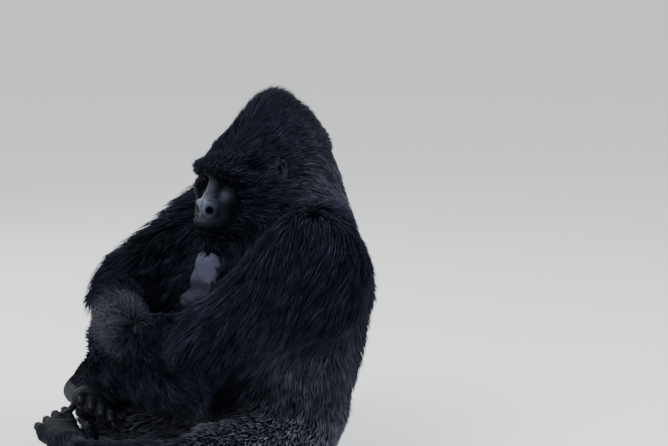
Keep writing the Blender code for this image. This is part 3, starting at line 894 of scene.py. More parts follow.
def push_hollows(points):
    """Press the skin into each nostril and each ear's hollow, so it can then settle on their walls."""
    local = head_axes(points)
    nostril, ear = hollow_share(local, 0.030)
    sign = np.sign(local[:, :1])
    way = np.column_stack((sign * NOSTRIL_OUT[0], np.full((len(local), 2), NOSTRIL_OUT[1:])))
    local = local - NOSTRIL_PUSH * nostril[:, None] * way
    local[:, 0] -= sign[:, 0] * EAR_PUSH * ear
    return to_world(local, place(HEAD_AT), HEAD_TURN)


def coat_table(points, nodes):
    """Depth, length, width and fall of the coat at each point."""
    coat = np.array([COAT[name] for name in FLESH])[nodes]
    head = on_nodes(nodes, HEAD_NODES)
    coat[head] = head_coat(head_axes(points[head]), coat[head])
    return coat


def bare_shares(points, normals, nodes):
    """bare_share of each point by its own node."""
    bare = np.zeros(len(points))
    for k, name in enumerate(FLESH):
        here = nodes == k
        bare[here] = bare_share(name, points[here], normals[here])
    return bare


def make_skin(settings):
    """One skin for all the flesh: fused, drawn in by the coat's depth, and shaped where it is bare."""
    points, tris = fused_flesh(settings.grid)
    cad, _faces, owner = flesh_points()
    nodes = owner[nearest(points, cad)]
    coat = coat_table(points, nodes)
    # fields: coat depth, then the share of the head and of each hand and foot, then the place of the body
    shares = [on_nodes(nodes, group) for group in (HEAD_NODES, *((name,) for name in HANDS_FEET))]
    fields = np.column_stack([coat[:, DEPTH]] + [s.astype(float) for s in shares])
    edges, _sides = edges_of(tris)
    fields = spread(fields, edges, rounds=5)
    normals = normals_of(points, tris)
    bare = spread(bare_shares(points, normals, nodes)[:, None], edges, rounds=2)[:, 0]
    fields[:, 0] *= 1.0 - bare
    body = points - normals * fields[:, :1]
    fields = np.column_stack((fields, body))
    for level in range(settings.halvings):
        wanted = detail_wanted(level, points, nodes)
        points, tris, fields, nodes = refine(points, tris, fields, nodes, wanted)
    depth, body = fields[:, 0], fields[:, -3:]
    edges, _sides = edges_of(tris)
    slack = throat_share(points) * on_nodes(nodes, THROAT)
    body = spread(body, edges, rounds=2)
    body = body + normals_of(body, tris) * (slack * throat_folds(points))[:, None]
    clays = [head_clay_at] + [lambda p, _depth, name=name: limb_clay_at(name, p) for name in HANDS_FEET]
    shaped = body.copy()
    for column, clay in enumerate(clays, start=1):
        share = smooth(fields[:, column], 0.25, 0.80)
        here = np.flatnonzero(share > 0.0)
        inner = depth[here]
        spots = body[here]
        if clay is head_clay_at:
            spots = push_hollows(spots)
        spots = slide_onto(spots, lambda p: clay(p, inner), rounds=5)
        for _round in range(2):
            shaped[here] = spots
            eased = spread(shaped, edges, rounds=1)[here]
            spots = slide_onto(eased, lambda p: clay(p, inner), rounds=2)
        shaped[here] = body[here] + share[here, None] * (spots - body[here])
    points = shaped
    points[:, 2] = np.maximum(points[:, 2], 0.0)
    skin = mesh_from("skin", points, tris)
    dress_skin(skin, points, tris, nodes, edges)
    return skin


def dress_skin(skin, points, tris, nodes, edges):
    """Store on the skin what its material and its coat read, one value for each point.

    lie: direction of the hair. coat: depth, length, width and fall. mark: silver, pale throat with
    painted light and shade, the nose's painted sheen with worn skin, and bareness. hollow: painted
    shade in nostrils, ears and the line of the mouth. node: number in FLESH.
    """
    normals = normals_of(points, tris)
    bare = bare_shares(points, normals, nodes)
    lie = np.zeros((len(points), 3))
    for k, name in enumerate(FLESH):
        lie[nodes == k] = lie_of(name, points[nodes == k])
    coat = coat_table(points, nodes)
    # the stiff fringe at the right elbow
    fringe = 1.0 - smooth(np.linalg.norm(points - place(ELBOW_R), axis=1), 0.090, 0.170)
    fringe *= on_nodes(nodes, ("upper_arm_right",))
    coat[:, FALL] -= (coat[:, FALL] + FRINGE_STIFFNESS) * fringe
    coat[:, LENGTH] *= 1.0 + FRINGE_GROWTH * fringe
    coat = spread(coat, edges, rounds=6)
    lie = unit(lie)
    lie = spread(lie - normals * dot(lie, normals), edges, rounds=16)
    lie = unit(lie - normals * dot(lie, normals))
    on_head = on_nodes(nodes, HEAD_NODES)
    local = head_axes(points)
    side, y, z = np.abs(local[:, 0]), local[:, 1], local[:, 2]
    # glossy skin, with a painted pale blue sheen in its colour on nose, bridge and under the eyes; worn,
    # glossy skin on soles and ears
    nose = bump_at(np.hypot(side * 1.05, z + 0.050), 0.025) * smooth(-y, 0.015, 0.04)
    bridge = bump_at(side, 0.016) * bump_at(z + 0.014, 0.022) * smooth(-y, 0.0, 0.02)
    sheen_below_eye = bump_at(np.hypot(side - 0.027, (z + 0.030) * 0.9), 0.013) * smooth(-y, -0.03, 0.0)
    nose = np.maximum(np.maximum(nose, 0.34 * bridge), 0.34 * sheen_below_eye) * on_head
    nose += 0.06 * bare * on_nodes(nodes, ("foot_left", "foot_right"))
    nose[on_head] += 0.14 * ear_share(local[on_head])
    # painted light and shade: the pale bare breast is lighter at its top and darker lower down, over its
    # folds
    high = smooth(points[:, 2] - SHIFT[2] - THROAT_AT[2], -0.040, -0.010)
    chest = on_nodes(nodes, THROAT) * (0.40 + 0.60 * high)
    # painted shade: nostrils, the ears' hollows and the mouth's line are darkened in the colour
    nostril, ear = hollow_share(local, 0.000)
    lips = bump_at(z - upper_lip_line(side), 0.0016) * (side < 0.052) * (y < 0.0)
    store(skin, "lie", "FLOAT_VECTOR", lie)
    store(skin, "coat", "FLOAT_COLOR", coat)
    store(skin, "mark", "FLOAT_COLOR", np.column_stack((silver_share(points), bare * chest, nose, bare)))
    store(skin, "hollow", "FLOAT", np.maximum(np.maximum(nostril, 0.8 * ear), lips) * on_head)
    store(skin, "node", "FLOAT", nodes)


# ---------------------------------------------------------------- materials
BLACK = (0.0, 0.0, 0.0, 1.0)


def shader_of(name):
    """A new material, its node tree and its Principled shader."""
    material = bpy.data.materials.new(name)
    material.use_nodes = True
    tree = material.node_tree
    return material, tree, tree.nodes["Principled BSDF"]


def add_node(tree, kind, inputs=(), **options):
    """A node with its options set and its inputs given as values or as sockets."""
    node = tree.nodes.new(kind)
    for key, value in options.items():
        setattr(node, key, value)
    for key, value in dict(inputs).items():
        if isinstance(value, bpy.types.NodeSocket):
            tree.links.new(value, node.inputs[key])
        else:
            node.inputs[key].default_value = value
    return node


def math_node(tree, operation, a, b=0.0, clamp=False):
    """The output of a Math node."""
    node = add_node(tree, "ShaderNodeMath", {0: a, 1: b}, operation=operation, use_clamp=clamp)
    return node.outputs[0]


def vector_node(tree, operation, inputs):
    """A Vector Math node."""
    return add_node(tree, "ShaderNodeVectorMath", inputs, operation=operation)


def mix_colours(tree, share, a, b, blend_type="MIX"):
    """The colour between a and b."""
    inputs = {"Factor": share, 6: a, 7: b}
    node = add_node(tree, "ShaderNodeMix", inputs, data_type="RGBA", blend_type=blend_type)
    return node.outputs[2]


def rgba(colour):
    """A colour property as four numbers."""
    return (*colour, 1.0)


def skin_material(look):
    """Charcoal hide: pebbled and creased, glossy on the nose under a painted pale blue sheen, pale on the
    bare chest, dark under the coat, with painted shade in nostrils, ears and the mouth's line.
    """
    material, tree, shader = shader_of("hide")
    spot = add_node(tree, "ShaderNodeTexCoord").outputs["Object"]
    mark = add_node(tree, "ShaderNodeAttribute", attribute_name="mark")
    parts = add_node(tree, "ShaderNodeSeparateColor", {0: mark.outputs["Color"]})
    silver, chest, nose = parts.outputs[0], parts.outputs[1], parts.outputs[2]
    bare = mark.outputs["Alpha"]
    cloud = add_node(tree, "ShaderNodeTexNoise", {
        "Vector": spot, "Scale": 28.0, "Detail": 5.0, "Roughness": 0.6})
    pebble = add_node(tree, "ShaderNodeTexVoronoi", {"Vector": spot, "Scale": 620.0})
    crease = add_node(tree, "ShaderNodeTexNoise", {
        "Vector": spot, "Scale": 210.0, "Detail": 6.0, "Roughness": 0.7, "Distortion": 1.2})
    hide = mix_colours(tree, cloud.outputs[0], rgba(look.hide_dark), rgba(look.hide_light))
    coat = mix_colours(tree, silver, rgba(look.coat_dark), rgba(look.coat_silver))
    coat = mix_colours(tree, 0.45, coat, BLACK)
    base = mix_colours(tree, bare, coat, hide)
    # pale bare breast; its fading lower down is painted shade
    base = mix_colours(tree, chest, base, rgba(look.chest))
    # painted sheen: a pale blue mixed into the colour on nose, bridge and under the eyes, a little on soles
    # and ears
    base = mix_colours(tree, math_node(tree, "MULTIPLY", nose, 0.6), base, rgba(look.nose))
    # painted shade: nostrils, ears' hollows and the mouth's line darkened nearly to black, their gloss cut as
    # well
    hollow = add_node(tree, "ShaderNodeAttribute", attribute_name="hollow").outputs["Fac"]
    base = mix_colours(tree, math_node(tree, "MULTIPLY", hollow, 0.95), base, BLACK)
    tree.links.new(base, shader.inputs["Base Color"])
    bare_gloss = math_node(tree, "MULTIPLY", bare, 0.015)
    gloss = math_node(tree, "ADD", bare_gloss, math_node(tree, "MULTIPLY", nose, 1.15))
    open_to_light = math_node(tree, "SUBTRACT", 1.0, hollow)
    gloss = math_node(tree, "MULTIPLY", math_node(tree, "ADD", gloss, 0.015), open_to_light)
    tree.links.new(gloss, shader.inputs["Specular IOR Level"])
    rough = math_node(tree, "SUBTRACT", 0.56, math_node(tree, "MULTIPLY", nose, 0.34))
    rough = math_node(tree, "ADD", rough, math_node(tree, "MULTIPLY", crease.outputs[0], 0.10))
    tree.links.new(rough, shader.inputs["Roughness"])
    # relief: pebbles, creases, plates between bent cracks, and rings of wrinkles round each eye
    swirl = vector_node(tree, "SCALE", {0: crease.outputs[1], 3: 0.006}).outputs[0]
    bent = vector_node(tree, "ADD", {0: spot, 1: swirl}).outputs[0]
    cells = add_node(
        tree, "ShaderNodeTexVoronoi", {"Vector": bent, "Scale": 230.0}, feature="DISTANCE_TO_EDGE")
    plates = math_node(tree, "MULTIPLY", math_node(tree, "MINIMUM", cells.outputs[0], 0.20), 1.6)
    height = math_node(tree, "ADD", math_node(tree, "MULTIPLY", pebble.outputs[0], 0.35), crease.outputs[0])
    height = math_node(tree, "ADD", height, plates)
    for side in (-1.0, 1.0):
        eye = place(HEAD_AT) + HEAD_TURN @ (EYE_LOCAL * (side, 1.0, 1.0))
        gap = vector_node(tree, "DISTANCE", {0: spot, 1: tuple(eye)}).outputs["Value"]
        wavy = math_node(tree, "ADD", gap, math_node(tree, "MULTIPLY", cloud.outputs[0], 0.012))
        rings = math_node(tree, "SINE", math_node(tree, "MULTIPLY", wavy, 1900.0))
        near = math_node(tree, "SUBTRACT", 1.0, math_node(tree, "MULTIPLY", gap, 16.0), clamp=True)
        shallow = math_node(tree, "MULTIPLY", near, 0.30)
        height = math_node(tree, "ADD", height, math_node(tree, "MULTIPLY", rings, shallow))
    bump = add_node(tree, "ShaderNodeBump", {"Strength": 0.7, "Distance": 0.0014, "Height": height})
    tree.links.new(bump.outputs[0], shader.inputs["Normal"])
    shader.inputs["Specular Tint"].default_value = (0.62, 0.76, 1.0, 1.0)
    return material


def eye_material(look):
    """Black pupil, brown iris, dark rim and brownish white, under a clear wet coat."""
    material, tree, shader = shader_of("eyeball")
    ring = add_node(tree, "ShaderNodeAttribute", attribute_name="ring").outputs["Fac"]
    ramp = tree.nodes.new("ShaderNodeValToRGB")
    tree.links.new(ring, ramp.inputs[0])
    stops = ((0.0, (0.002, 0.002, 0.002)), (0.125, (0.002, 0.002, 0.002)), (0.15, look.iris),
             (0.27, look.iris), (0.31, (0.006, 0.004, 0.003)), (0.40, look.eye_white))
    elements = ramp.color_ramp.elements
    for k in (0, -1):
        elements[k].position = stops[k][0]
        elements[k].color = rgba(stops[k][1])
    for share, tint in stops[1:-1]:
        elements.new(share).color = rgba(tint)
    spot = add_node(tree, "ShaderNodeTexCoord").outputs["Object"]
    flecks = add_node(tree, "ShaderNodeTexNoise", {"Vector": spot, "Scale": 900.0, "Detail": 4.0})
    shade = mix_colours(tree, 0.35, ramp.outputs[0], flecks.outputs[1], "MULTIPLY")
    tree.links.new(shade, shader.inputs["Base Color"])
    shader.inputs["Roughness"].default_value = 0.30
    shader.inputs["Specular IOR Level"].default_value = 0.03
    shader.inputs["Coat Weight"].default_value = 0.035
    shader.inputs["Coat Roughness"].default_value = 0.10
    return material


def nail_material(look):
    """Dark horn with faint ridges."""
    material, tree, shader = shader_of("nail_horn")
    spot = add_node(tree, "ShaderNodeTexCoord").outputs["Object"]
    grain = add_node(tree, "ShaderNodeTexNoise", {"Vector": spot, "Scale": 320.0, "Detail": 4.0})
    base = mix_colours(tree, grain.outputs[0], rgba(look.nail), tuple(1.8 * c for c in look.nail) + (1.0,))
    tree.links.new(base, shader.inputs["Base Color"])
    bump = add_node(tree, "ShaderNodeBump", {
        "Strength": 0.25, "Distance": 0.0004, "Height": grain.outputs[0]})
    tree.links.new(bump.outputs[0], shader.inputs["Normal"])
    shader.inputs["Roughness"].default_value = 0.46
    shader.inputs["Specular IOR Level"].default_value = 0.16
    return material


def coat_material(look):
    """Blue-black hair that greys with the marking, each tuft its own shade, paler towards its tip; its blue,
    strongest on the pale tips, is a painted sheen.
    """
    material, tree, shader = shader_of("hair")
    tone = add_node(tree, "ShaderNodeAttribute", attribute_name="tone")
    parts = add_node(tree, "ShaderNodeSeparateColor", {0: tone.outputs["Color"]})
    silver, luck, along = parts.outputs[0], parts.outputs[1], parts.outputs[2]
    # painted sheen: the hair's blue tint, strongest at its paler tips, stands in for a blue sheen
    root = mix_colours(tree, silver, rgba(look.coat_dark), rgba(look.coat_silver))
    tip = mix_colours(tree, silver, rgba(look.coat_tip), rgba(look.silver_tip))
    base = mix_colours(tree, math_node(tree, "MULTIPLY", along, 0.85), root, tip)
    lucky = math_node(tree, "POWER", luck, 2.2)
    gain = math_node(tree, "ADD", 0.35, math_node(tree, "MULTIPLY", lucky, 2.4))
    scale = vector_node(tree, "SCALE", {0: base, 3: gain})
    tree.links.new(scale.outputs[0], shader.inputs["Base Color"])
    shader.inputs["Roughness"].default_value = 0.46
    shader.inputs["Specular IOR Level"].default_value = 0.045
    shader.inputs["Specular Tint"].default_value = (0.50, 0.66, 1.0, 1.0)
    return material


# ---------------------------------------------------------------- eyes and nails
CORNEA_BULGE = 0.0006
NAIL_LEAN = 50.0  # degrees from the middle of a nail to its side
NAIL_THICKNESS = 0.0016


def eyeball(name, centre, gaze):
    """A ball with a clear bulge in front: radius R + bulge * exp(-(angle / 27 degrees)^4) about the gaze."""
    across, around = 40, 56
    angle = np.linspace(0.0, math.pi, across)[:, None]
    turn = np.linspace(0.0, 2.0 * math.pi, around, endpoint=False)[None, :]
    radius = EYE_R + CORNEA_BULGE * np.exp(-((angle / math.radians(27.0)) ** 4))
    side = unit(np.cross(gaze, (0.0, 0.0, 1.0)))
    up = np.cross(side, gaze)
    shape = radius[..., None] * (
        np.cos(angle)[..., None] * gaze
        + np.sin(angle)[..., None] * (np.cos(turn)[..., None] * side + np.sin(turn)[..., None] * up))
    points = shape[1:-1].reshape(-1, 3)
    rows = across - 2
    poles = np.array((shape[0, 0], shape[-1, 0]))
    i, j = np.meshgrid(np.arange(rows - 1), np.arange(around), indexing="ij")
    a, b = i * around + j, i * around + (j + 1) % around
    c, d = a + around, b + around
    a, b, c, d = (part.ravel() for part in (a, b, c, d))
    tris = [np.column_stack((a, c, b)), np.column_stack((b, c, d))]
    ring = np.arange(around)
    top, bottom, last = rows * around, rows * around + 1, (rows - 1) * around
    tris.append(np.column_stack((np.full(around, top), ring, (ring + 1) % around)))
    tris.append(np.column_stack((np.full(around, bottom), last + (ring + 1) % around, last + ring)))
    points = np.vstack((points, poles))
    tris = np.vstack(tris)
    a, b, c = (points[tris[:, k]] for k in range(3))
    if np.sum(np.cross(b - a, c - a) * a) < 0.0:
        tris = tris[:, ::-1]
    obj = mesh_from(name, points + centre, tris)
    store(obj, "ring", "FLOAT", np.arccos(np.clip(unit(points) @ gaze, -1.0, 1.0)) / math.pi)
    return obj


def nail_plates(name, origin, turn, digits):
    """Curved nail plates, one on the back of each digit's tip: part of an ellipsoid raised over it.

    Over u from -1 to 1 across and v from 0 to 1 along, a plate lies at the tip's radius plus a small
    rise, turned NAIL_LEAN u degrees about the digit, and flattens as u^4 and (2 v - 1)^4 towards its rim.
    """
    wide, long = 9, 8
    u, v = np.meshgrid(np.linspace(-1.0, 1.0, wide), np.linspace(0.0, 1.0, long), indexing="ij")
    u, v = u.ravel(), v.ravel()
    points, tris, count = [], [], 0
    grid = np.arange(wide * long).reshape(wide, long)
    sheet = grid_tris(wide, long)
    rim = np.concatenate((grid[:, 0], grid[-1, 1:], grid[-2::-1, -1], grid[0, -2:0:-1]))
    wall = np.column_stack((rim, np.roll(rim, -1)))
    for stations in digits:
        (c0, _r0), (c1, r1) = stations[-2:]
        c0, c1 = np.array(c0), np.array(c1)
        way = unit(c1 - c0)
        back = unit(np.array((0.0, 0.0, 1.0)) - way * way[2])
        across = np.cross(way, back)
        girth = r1 * 1.03
        lean = np.radians(NAIL_LEAN) * u
        along = (v - 0.30) * girth * 1.35
        taper = np.sqrt(np.clip(1.0 - (np.clip(along, 0.0, None) / (girth * 1.25)) ** 2, 0.05, 1.0))
        rise = girth * taper + 0.0007 * (1.0 - u ** 4) * (1.0 - 0.6 * (2.0 * v - 1.0) ** 4)
        outward = np.sin(lean)[:, None] * across + np.cos(lean)[:, None] * back
        top = c1 + along[:, None] * way + rise[:, None] * outward
        under = top - NAIL_THICKNESS * outward
        points += [top, under]
        n = len(top)
        tris.append(sheet + count)
        tris.append(sheet[:, ::-1] + count + n)
        tris.append(np.column_stack((wall[:, 1], wall[:, 0], wall[:, 0] + n)) + count)
        tris.append(np.column_stack((wall[:, 1], wall[:, 0] + n, wall[:, 1] + n)) + count)
        count += 2 * n
    return mesh_from(name, to_world(np.vstack(points), origin, turn), np.vstack(tris))


# ---------------------------------------------------------------- coat
ROOT_DEPTH = 0.002  # how deep a tuft starts under the skin
LEAST_LOFT = 0.0028  # a tuft stands at least as high as in a coat of this depth
GROUND_GAP = 0.002  # least height of a tuft over the ground
DRAW_SHARE = 0.8  # of a step: the most that one step is drawn to its height over the skin
LOCK_REACH = 0.022  # the furthest that a tip is drawn towards its lock
OPEN_CHECK = 0.030  # height over the skin where another part of the body would be noticed
BAKE_PATCH = 0.003  # width of one tuft's patch of the OFBake map


class NearSkin:
    """The skin point nearest to any place near the skin.

    A grid of cells holds the number of a skin point; cells around it take over the number of the
    neighbour whose point lies closest to their middle, one layer of cells at a time.
    """

    CELL = 0.010
    LAYERS = 8
    MARGIN = 0.085

    def __init__(self, points, normals):
        self.points, self.normals = points, normals
        self.low = points.min(axis=0) - self.MARGIN
        self.shape = np.ceil((points.max(axis=0) + self.MARGIN - self.low) / self.CELL).astype(int) + 1
        self.grid = np.full(self.shape, -1, np.int32)
        self.grid[tuple(self.cell(points).T)] = np.arange(len(points))
        far = np.where(self.grid < 0, 9.0, self.CELL ** 2)
        for _layer in range(self.LAYERS):
            for axis in range(3):
                for way in (-1, 1):
                    other = np.roll(self.grid, way, axis)
                    spots = np.argwhere(other >= 0)
                    index = tuple(spots.T)
                    middle = self.low + (spots + 0.5) * self.CELL
                    gap = ((points[other[index]] - middle) ** 2).sum(axis=1)
                    closer = gap < far[index]
                    index = tuple(spots[closer].T)
                    far[index] = gap[closer]
                    self.grid[index] = other[index]

    def cell(self, places):
        """The cell of each place, kept inside the grid."""
        return np.clip(((places - self.low) / self.CELL).astype(int), 0, self.shape - 1)

    def at(self, places):
        """The nearest skin point's number, and the height of each place above the skin there."""
        index = self.grid[tuple(self.cell(places).T)]
        height = ((places - self.points[index]) * self.normals[index]).sum(axis=1)
        return index, height


def scatter(points, tris, weight, count, rng):
    """Places spread over the skin at random by area and weight: triangle numbers and corner shares."""
    a, b, c = (points[tris[:, k]] for k in range(3))
    area = np.linalg.norm(np.cross(b - a, c - a), axis=1) * weight
    total = np.cumsum(area)
    pick = np.searchsorted(total, (np.arange(count) + rng.random(count)) / count * total[-1])
    pick = np.minimum(pick, len(tris) - 1)
    s, t = rng.random(count), rng.random(count)
    over = s + t > 1.0
    s[over], t[over] = 1.0 - s[over], 1.0 - t[over]
    return pick, np.column_stack((1.0 - s - t, s, t))


def grow(near, lie, root, up, length, loft, fall, rings, rng):
    """Spines of the tufts: short steps over the skin, along its lie, falling under their weight.

    Each step follows the lie of the nearest skin point turned towards the ground by the fall, and
    is then drawn to the height loft * smooth(1.5 * share of the length) over the skin. Under an
    overhang the tuft hangs free. A fall below zero is stiffness: the tuft keeps its first direction.
    """
    count = len(root)
    stiff = np.maximum(-fall, 0.0)
    fall = np.maximum(fall, 0.0)
    before = None
    unruly = (0.09 + 0.07 * smooth(length, 0.030, 0.055)) * (1.0 + 1.3 * stiff)
    stray = rng.normal(0.0, 1.0, (count, 3)) * unruly[:, None]
    spine = np.empty((count, rings + 1, 3))
    outward = np.empty((count, rings + 1, 3))
    spine[:, 0] = root - ROOT_DEPTH * up
    outward[:, 0] = up
    step = (length / rings)[:, None]
    for k in range(1, rings + 1):
        share = k / rings
        index, _height = near.at(spine[:, k - 1])
        normal = near.normals[index]
        way = unit(lie[index] + stray)
        way = unit(way * (1.0 - fall * share)[:, None] + DOWN * (fall * share)[:, None])
        flat = unit(way - normal * dot(way, normal))
        hang = np.clip(-normal[:, 2:3] * 1.4 + 0.1, 0.0, 1.0) * fall[:, None]
        way = unit(flat * (1.0 - hang) + way * hang)
        if before is not None:
            way = unit(way + before * stiff[:, None])
        before = way
        spot = spine[:, k - 1] + way * step
        index, height = near.at(spot)
        normal = near.normals[index]
        want = loft * smooth(np.full(count, share), 0.0, 0.75)
        pull = want - height
        pull = np.where(pull < 0.0, pull * (1.0 - 0.8 * hang[:, 0]) * (1.0 - stiff), pull)
        limit = DRAW_SHARE * step[:, 0]
        spine[:, k] = spot + normal * np.clip(pull, -limit, limit)[:, None]
        outward[:, k] = normal
    for _round in range(2):
        spine[:, 1:-1] += 0.5 * (0.5 * (spine[:, :-2] + spine[:, 2:]) - spine[:, 1:-1])
    return spine, outward


def gather(spine, root, lead_share, pull, rng):
    """Draw tufts together into locks: each bends towards the nearest leader, most at its tip."""
    count, stations = spine.shape[:2]
    leaders = rng.choice(count, max(2, int(count * lead_share)), replace=False)
    leader = leaders[nearest(root, root[leaders])]
    share = (np.arange(stations) / (stations - 1)) ** 1.4
    move = (spine[leader] - spine) * share[None, :, None] * pull
    far = np.linalg.norm(move, axis=2, keepdims=True)
    return spine + move * np.minimum(1.0, LOCK_REACH / np.maximum(far, 1e-9)), leader


def tuft_mesh(name, spine, outward, width, marks, places):
    """Solid three-sided tapered tufts on the spines, each with its own patch of the OFBake map."""
    count, stations = spine.shape[:2]
    rings = stations - 1
    along = np.gradient(spine, axis=1)
    side = unit(np.cross(along, outward))
    up = unit(np.cross(side, along))
    share = np.arange(rings) / rings
    swell = 0.62 + 0.55 * np.sin(math.pi * np.minimum(share * 1.1 + 0.12, 1.0))
    swell = swell[None, :, None] * width[:, None, None]
    body, edge, lift = spine[:, :rings], side[:, :rings] * swell * 0.5, up[:, :rings] * swell * 0.42
    ring = np.stack((body - edge, body + edge, body + lift), axis=2).reshape(count, rings * 3, 3)
    points = np.concatenate((ring, spine[:, rings:]), axis=1)
    size = rings * 3 + 1
    faces = [(0, 1, 2)]
    for k in range(rings - 1):
        for j in range(3):
            a, b = 3 * k + j, 3 * k + (j + 1) % 3
            faces += [(a, a + 3, b), (b, a + 3, b + 3)]
    last = 3 * (rings - 1)
    faces += [(last + j, size - 1, last + (j + 1) % 3) for j in range(3)]
    faces = np.array(faces)
    tris = (faces[None] + (np.arange(count) * size)[:, None, None]).reshape(-1, 3)
    obj = mesh_from(name, points.reshape(-1, 3), tris)
    height = np.append(np.repeat(share, 3), 1.0)
    tone = np.empty((count, size, 4))
    tone[..., 0], tone[..., 1] = marks[:, :1], marks[:, 1:2]
    tone[..., 2], tone[..., 3] = height, 1.0
    store(obj, "tone", "FLOAT_COLOR", tone.reshape(-1, 4))
    spot = np.empty((size, 2))
    spot[:, 0] = np.append(np.tile((0.0, 1.0, 0.5), rings), 0.5)
    spot[:, 1] = height
    patch = places[:, None, :] + BAKE_PATCH * (spot[None] - 0.5)
    layer = obj.data.uv_layers.new(name="OFBake")
    layer.uv.foreach_set("vector", patch.reshape(-1, 2)[tris.ravel()].astype(np.float32).ravel())
    return obj


def unwrap(p, low, high):
    """Places of skin points on a sheet wound round the line from low to high, seam behind."""
    axis = unit(high - low)
    side = unit(np.cross(axis, (0.0, 1.0, 0.05)))
    front = np.cross(axis, side)
    gap = p - low
    turn = np.arctan2(gap @ side, gap @ front) / (2.0 * math.pi) + 0.5
    height = gap @ axis
    height = (height - height.min()) / (np.ptp(height) + 1e-9)
    return np.column_stack((0.01 + 0.98 * turn, 0.01 + 0.98 * height))


def side_by_side(root, corner_nodes, nodes):
    """Places of the roots on sheets round the lines of their nodes, one sheet beside the other.

    The nodes of the head share the crown's line and those of the trunk the trunk's; a limb's node
    has its own. A root belongs to the node that most of its triangle's corners belong to.
    """
    shared = {**dict.fromkeys(HEAD_NODES, "crown"), **dict.fromkeys(TRUNK_LIE, "trunk")}
    lines = list(dict.fromkeys(shared.get(node, node) for node in nodes))
    if len(lines) == 1:
        return unwrap(root, *(place(end) for end in LINES[lines[0]]))
    owner = np.argmax([(corner_nodes == FLESH.index(name)).sum(axis=1) for name in nodes], axis=0)
    places = np.zeros((len(root), 2))
    for k, line in enumerate(lines):
        here = owner == k
        if here.any():
            places[here] = unwrap(root[here], *(place(end) for end in LINES[line]))
            places[here, 0] = (k + places[here, 0]) / len(lines)
    return places


# for each piece: nodes it covers, tufts, rings in a tuft, share of leaders, pull, loft, slot
PIECES = {
    "coat_head": (HEAD_NODES, 19500, 2, 0.08, 0.25, 1.0, "dark_coat"),
    "coat_neck": (("neck",), 8000, 3, 0.08, 0.35, 1.0, "dark_coat"),
    "coat_chest": (("chest",), 13000, 2, 0.08, 0.45, 1.0, "dark_coat"),
    "coat_belly": (("belly",), 10500, 2, 0.08, 0.35, 1.0, "silver_coat"),
    "coat_rump": (("rump",), 5500, 2, 0.08, 0.35, 1.0, "silver_coat"),
    "coat_upper_arm_left": (("upper_arm_left",), 12000, 3, 0.06, 0.48, 1.0, "dark_coat"),
    "coat_upper_arm_right": (("upper_arm_right",), 7000, 3, 0.06, 0.60, 1.6, "dark_coat"),
    "coat_forearm_left": (("forearm_left",), 8500, 3, 0.06, 0.48, 1.0, "dark_coat"),
    "coat_forearm_right": (("forearm_right",), 10500, 3, 0.10, 0.30, 1.0, "dark_coat"),
    "coat_thigh_left": (("thigh_left",), 8500, 2, 0.08, 0.30, 1.0, "silver_coat"),
    "coat_thigh_right": (("thigh_right",), 6500, 2, 0.08, 0.30, 1.0, "silver_coat"),
    "coat_shanks": (("shank_left", "shank_right"), 7500, 2, 0.08, 0.45, 1.0, "dark_coat"),
    "coat_hands_feet": (
        ("hand_left", "hand_right", "foot_left", "foot_right"), 4500, 2, 0.10, 0.20, 1.0, "dark_coat"),
}


class SkinField:
    """The finished skin and all that the coat needs to know about it."""

    def __init__(self, skin):
        self.points, self.tris = mesh_arrays(skin.data)
        self.normals = normals_of(self.points, self.tris)
        self.lie = stored(skin, "lie", "FLOAT_VECTOR")
        self.coat = stored(skin, "coat", "FLOAT_COLOR")
        self.mark = stored(skin, "mark", "FLOAT_COLOR")
        self.node = np.rint(stored(skin, "node", "FLOAT")[:, 0]).astype(int)
        self.near = NearSkin(self.points, self.normals)
        above = self.points + self.normals * OPEN_CHECK
        _index, height = self.near.at(above)
        self.open = smooth(height, 0.004, 0.020)


def make_coat_piece(field, name, amount):
    """One piece of the coat: roots scattered on its nodes, grown, gathered and made solid."""
    nodes, count, rings, lead_share, pull, lift, slot = PIECES[name]
    rng = np.random.default_rng(SEED + list(PIECES).index(name))
    count = int(count * amount)
    owned = on_nodes(field.node, nodes)
    haired = 1.0 - field.mark[:, 3]
    weight = (owned * haired * (0.12 + 0.88 * field.open))[field.tris].mean(axis=1)
    pick, corner = scatter(field.points, field.tris, weight, count, rng)

    def mix(values):
        """Values at the roots, from their triangles' corners."""
        return (values[field.tris[pick]] * corner[:, :, None]).sum(axis=1)

    root, up = mix(field.points), unit(mix(field.normals))
    depth, length, width, fall = mix(field.coat).T
    silver, _chest, _nose, bare = mix(field.mark).T
    short = 1.0 - 0.6 * bare
    length = length * short * rng.uniform(0.65, 1.2, count)
    loft = lift * np.maximum(depth, LEAST_LOFT) * short * rng.uniform(0.40, 1.15, count)
    spine, outward = grow(field.near, field.lie, root, up, length, loft, fall, rings, rng)
    spine, leader = gather(spine, root, lead_share, pull, rng)
    spine[..., 2] = np.maximum(spine[..., 2], GROUND_GAP)
    luck = 0.6 * rng.random(count) + 0.4 * rng.random(count)[leader]
    marks = np.column_stack((silver, luck))
    places = side_by_side(root, field.node[field.tris[pick]], nodes)
    width = width * rng.uniform(0.7, 1.3, count)
    return tuft_mesh(name, spine, outward, width, marks, places), slot


# ---------------------------------------------------------------- stage
SENSOR_WIDTH = 36.0  # of the camera, in millimetres
SIGHT = 200.0  # how far the camera sees
# for each lamp: place, power in watts, width and colour
LAMPS = {
    "key": ((1.2, -2.4, 3.6), 190.0, 2.4, (1.0, 0.99, 0.97)),
    "back": ((2.4, 2.6, 3.2), 170.0, 2.2, (0.93, 0.96, 1.0)),
    "far": ((-3.0, -0.5, 2.4), 70.0, 2.6, (0.95, 0.97, 1.0)),
}


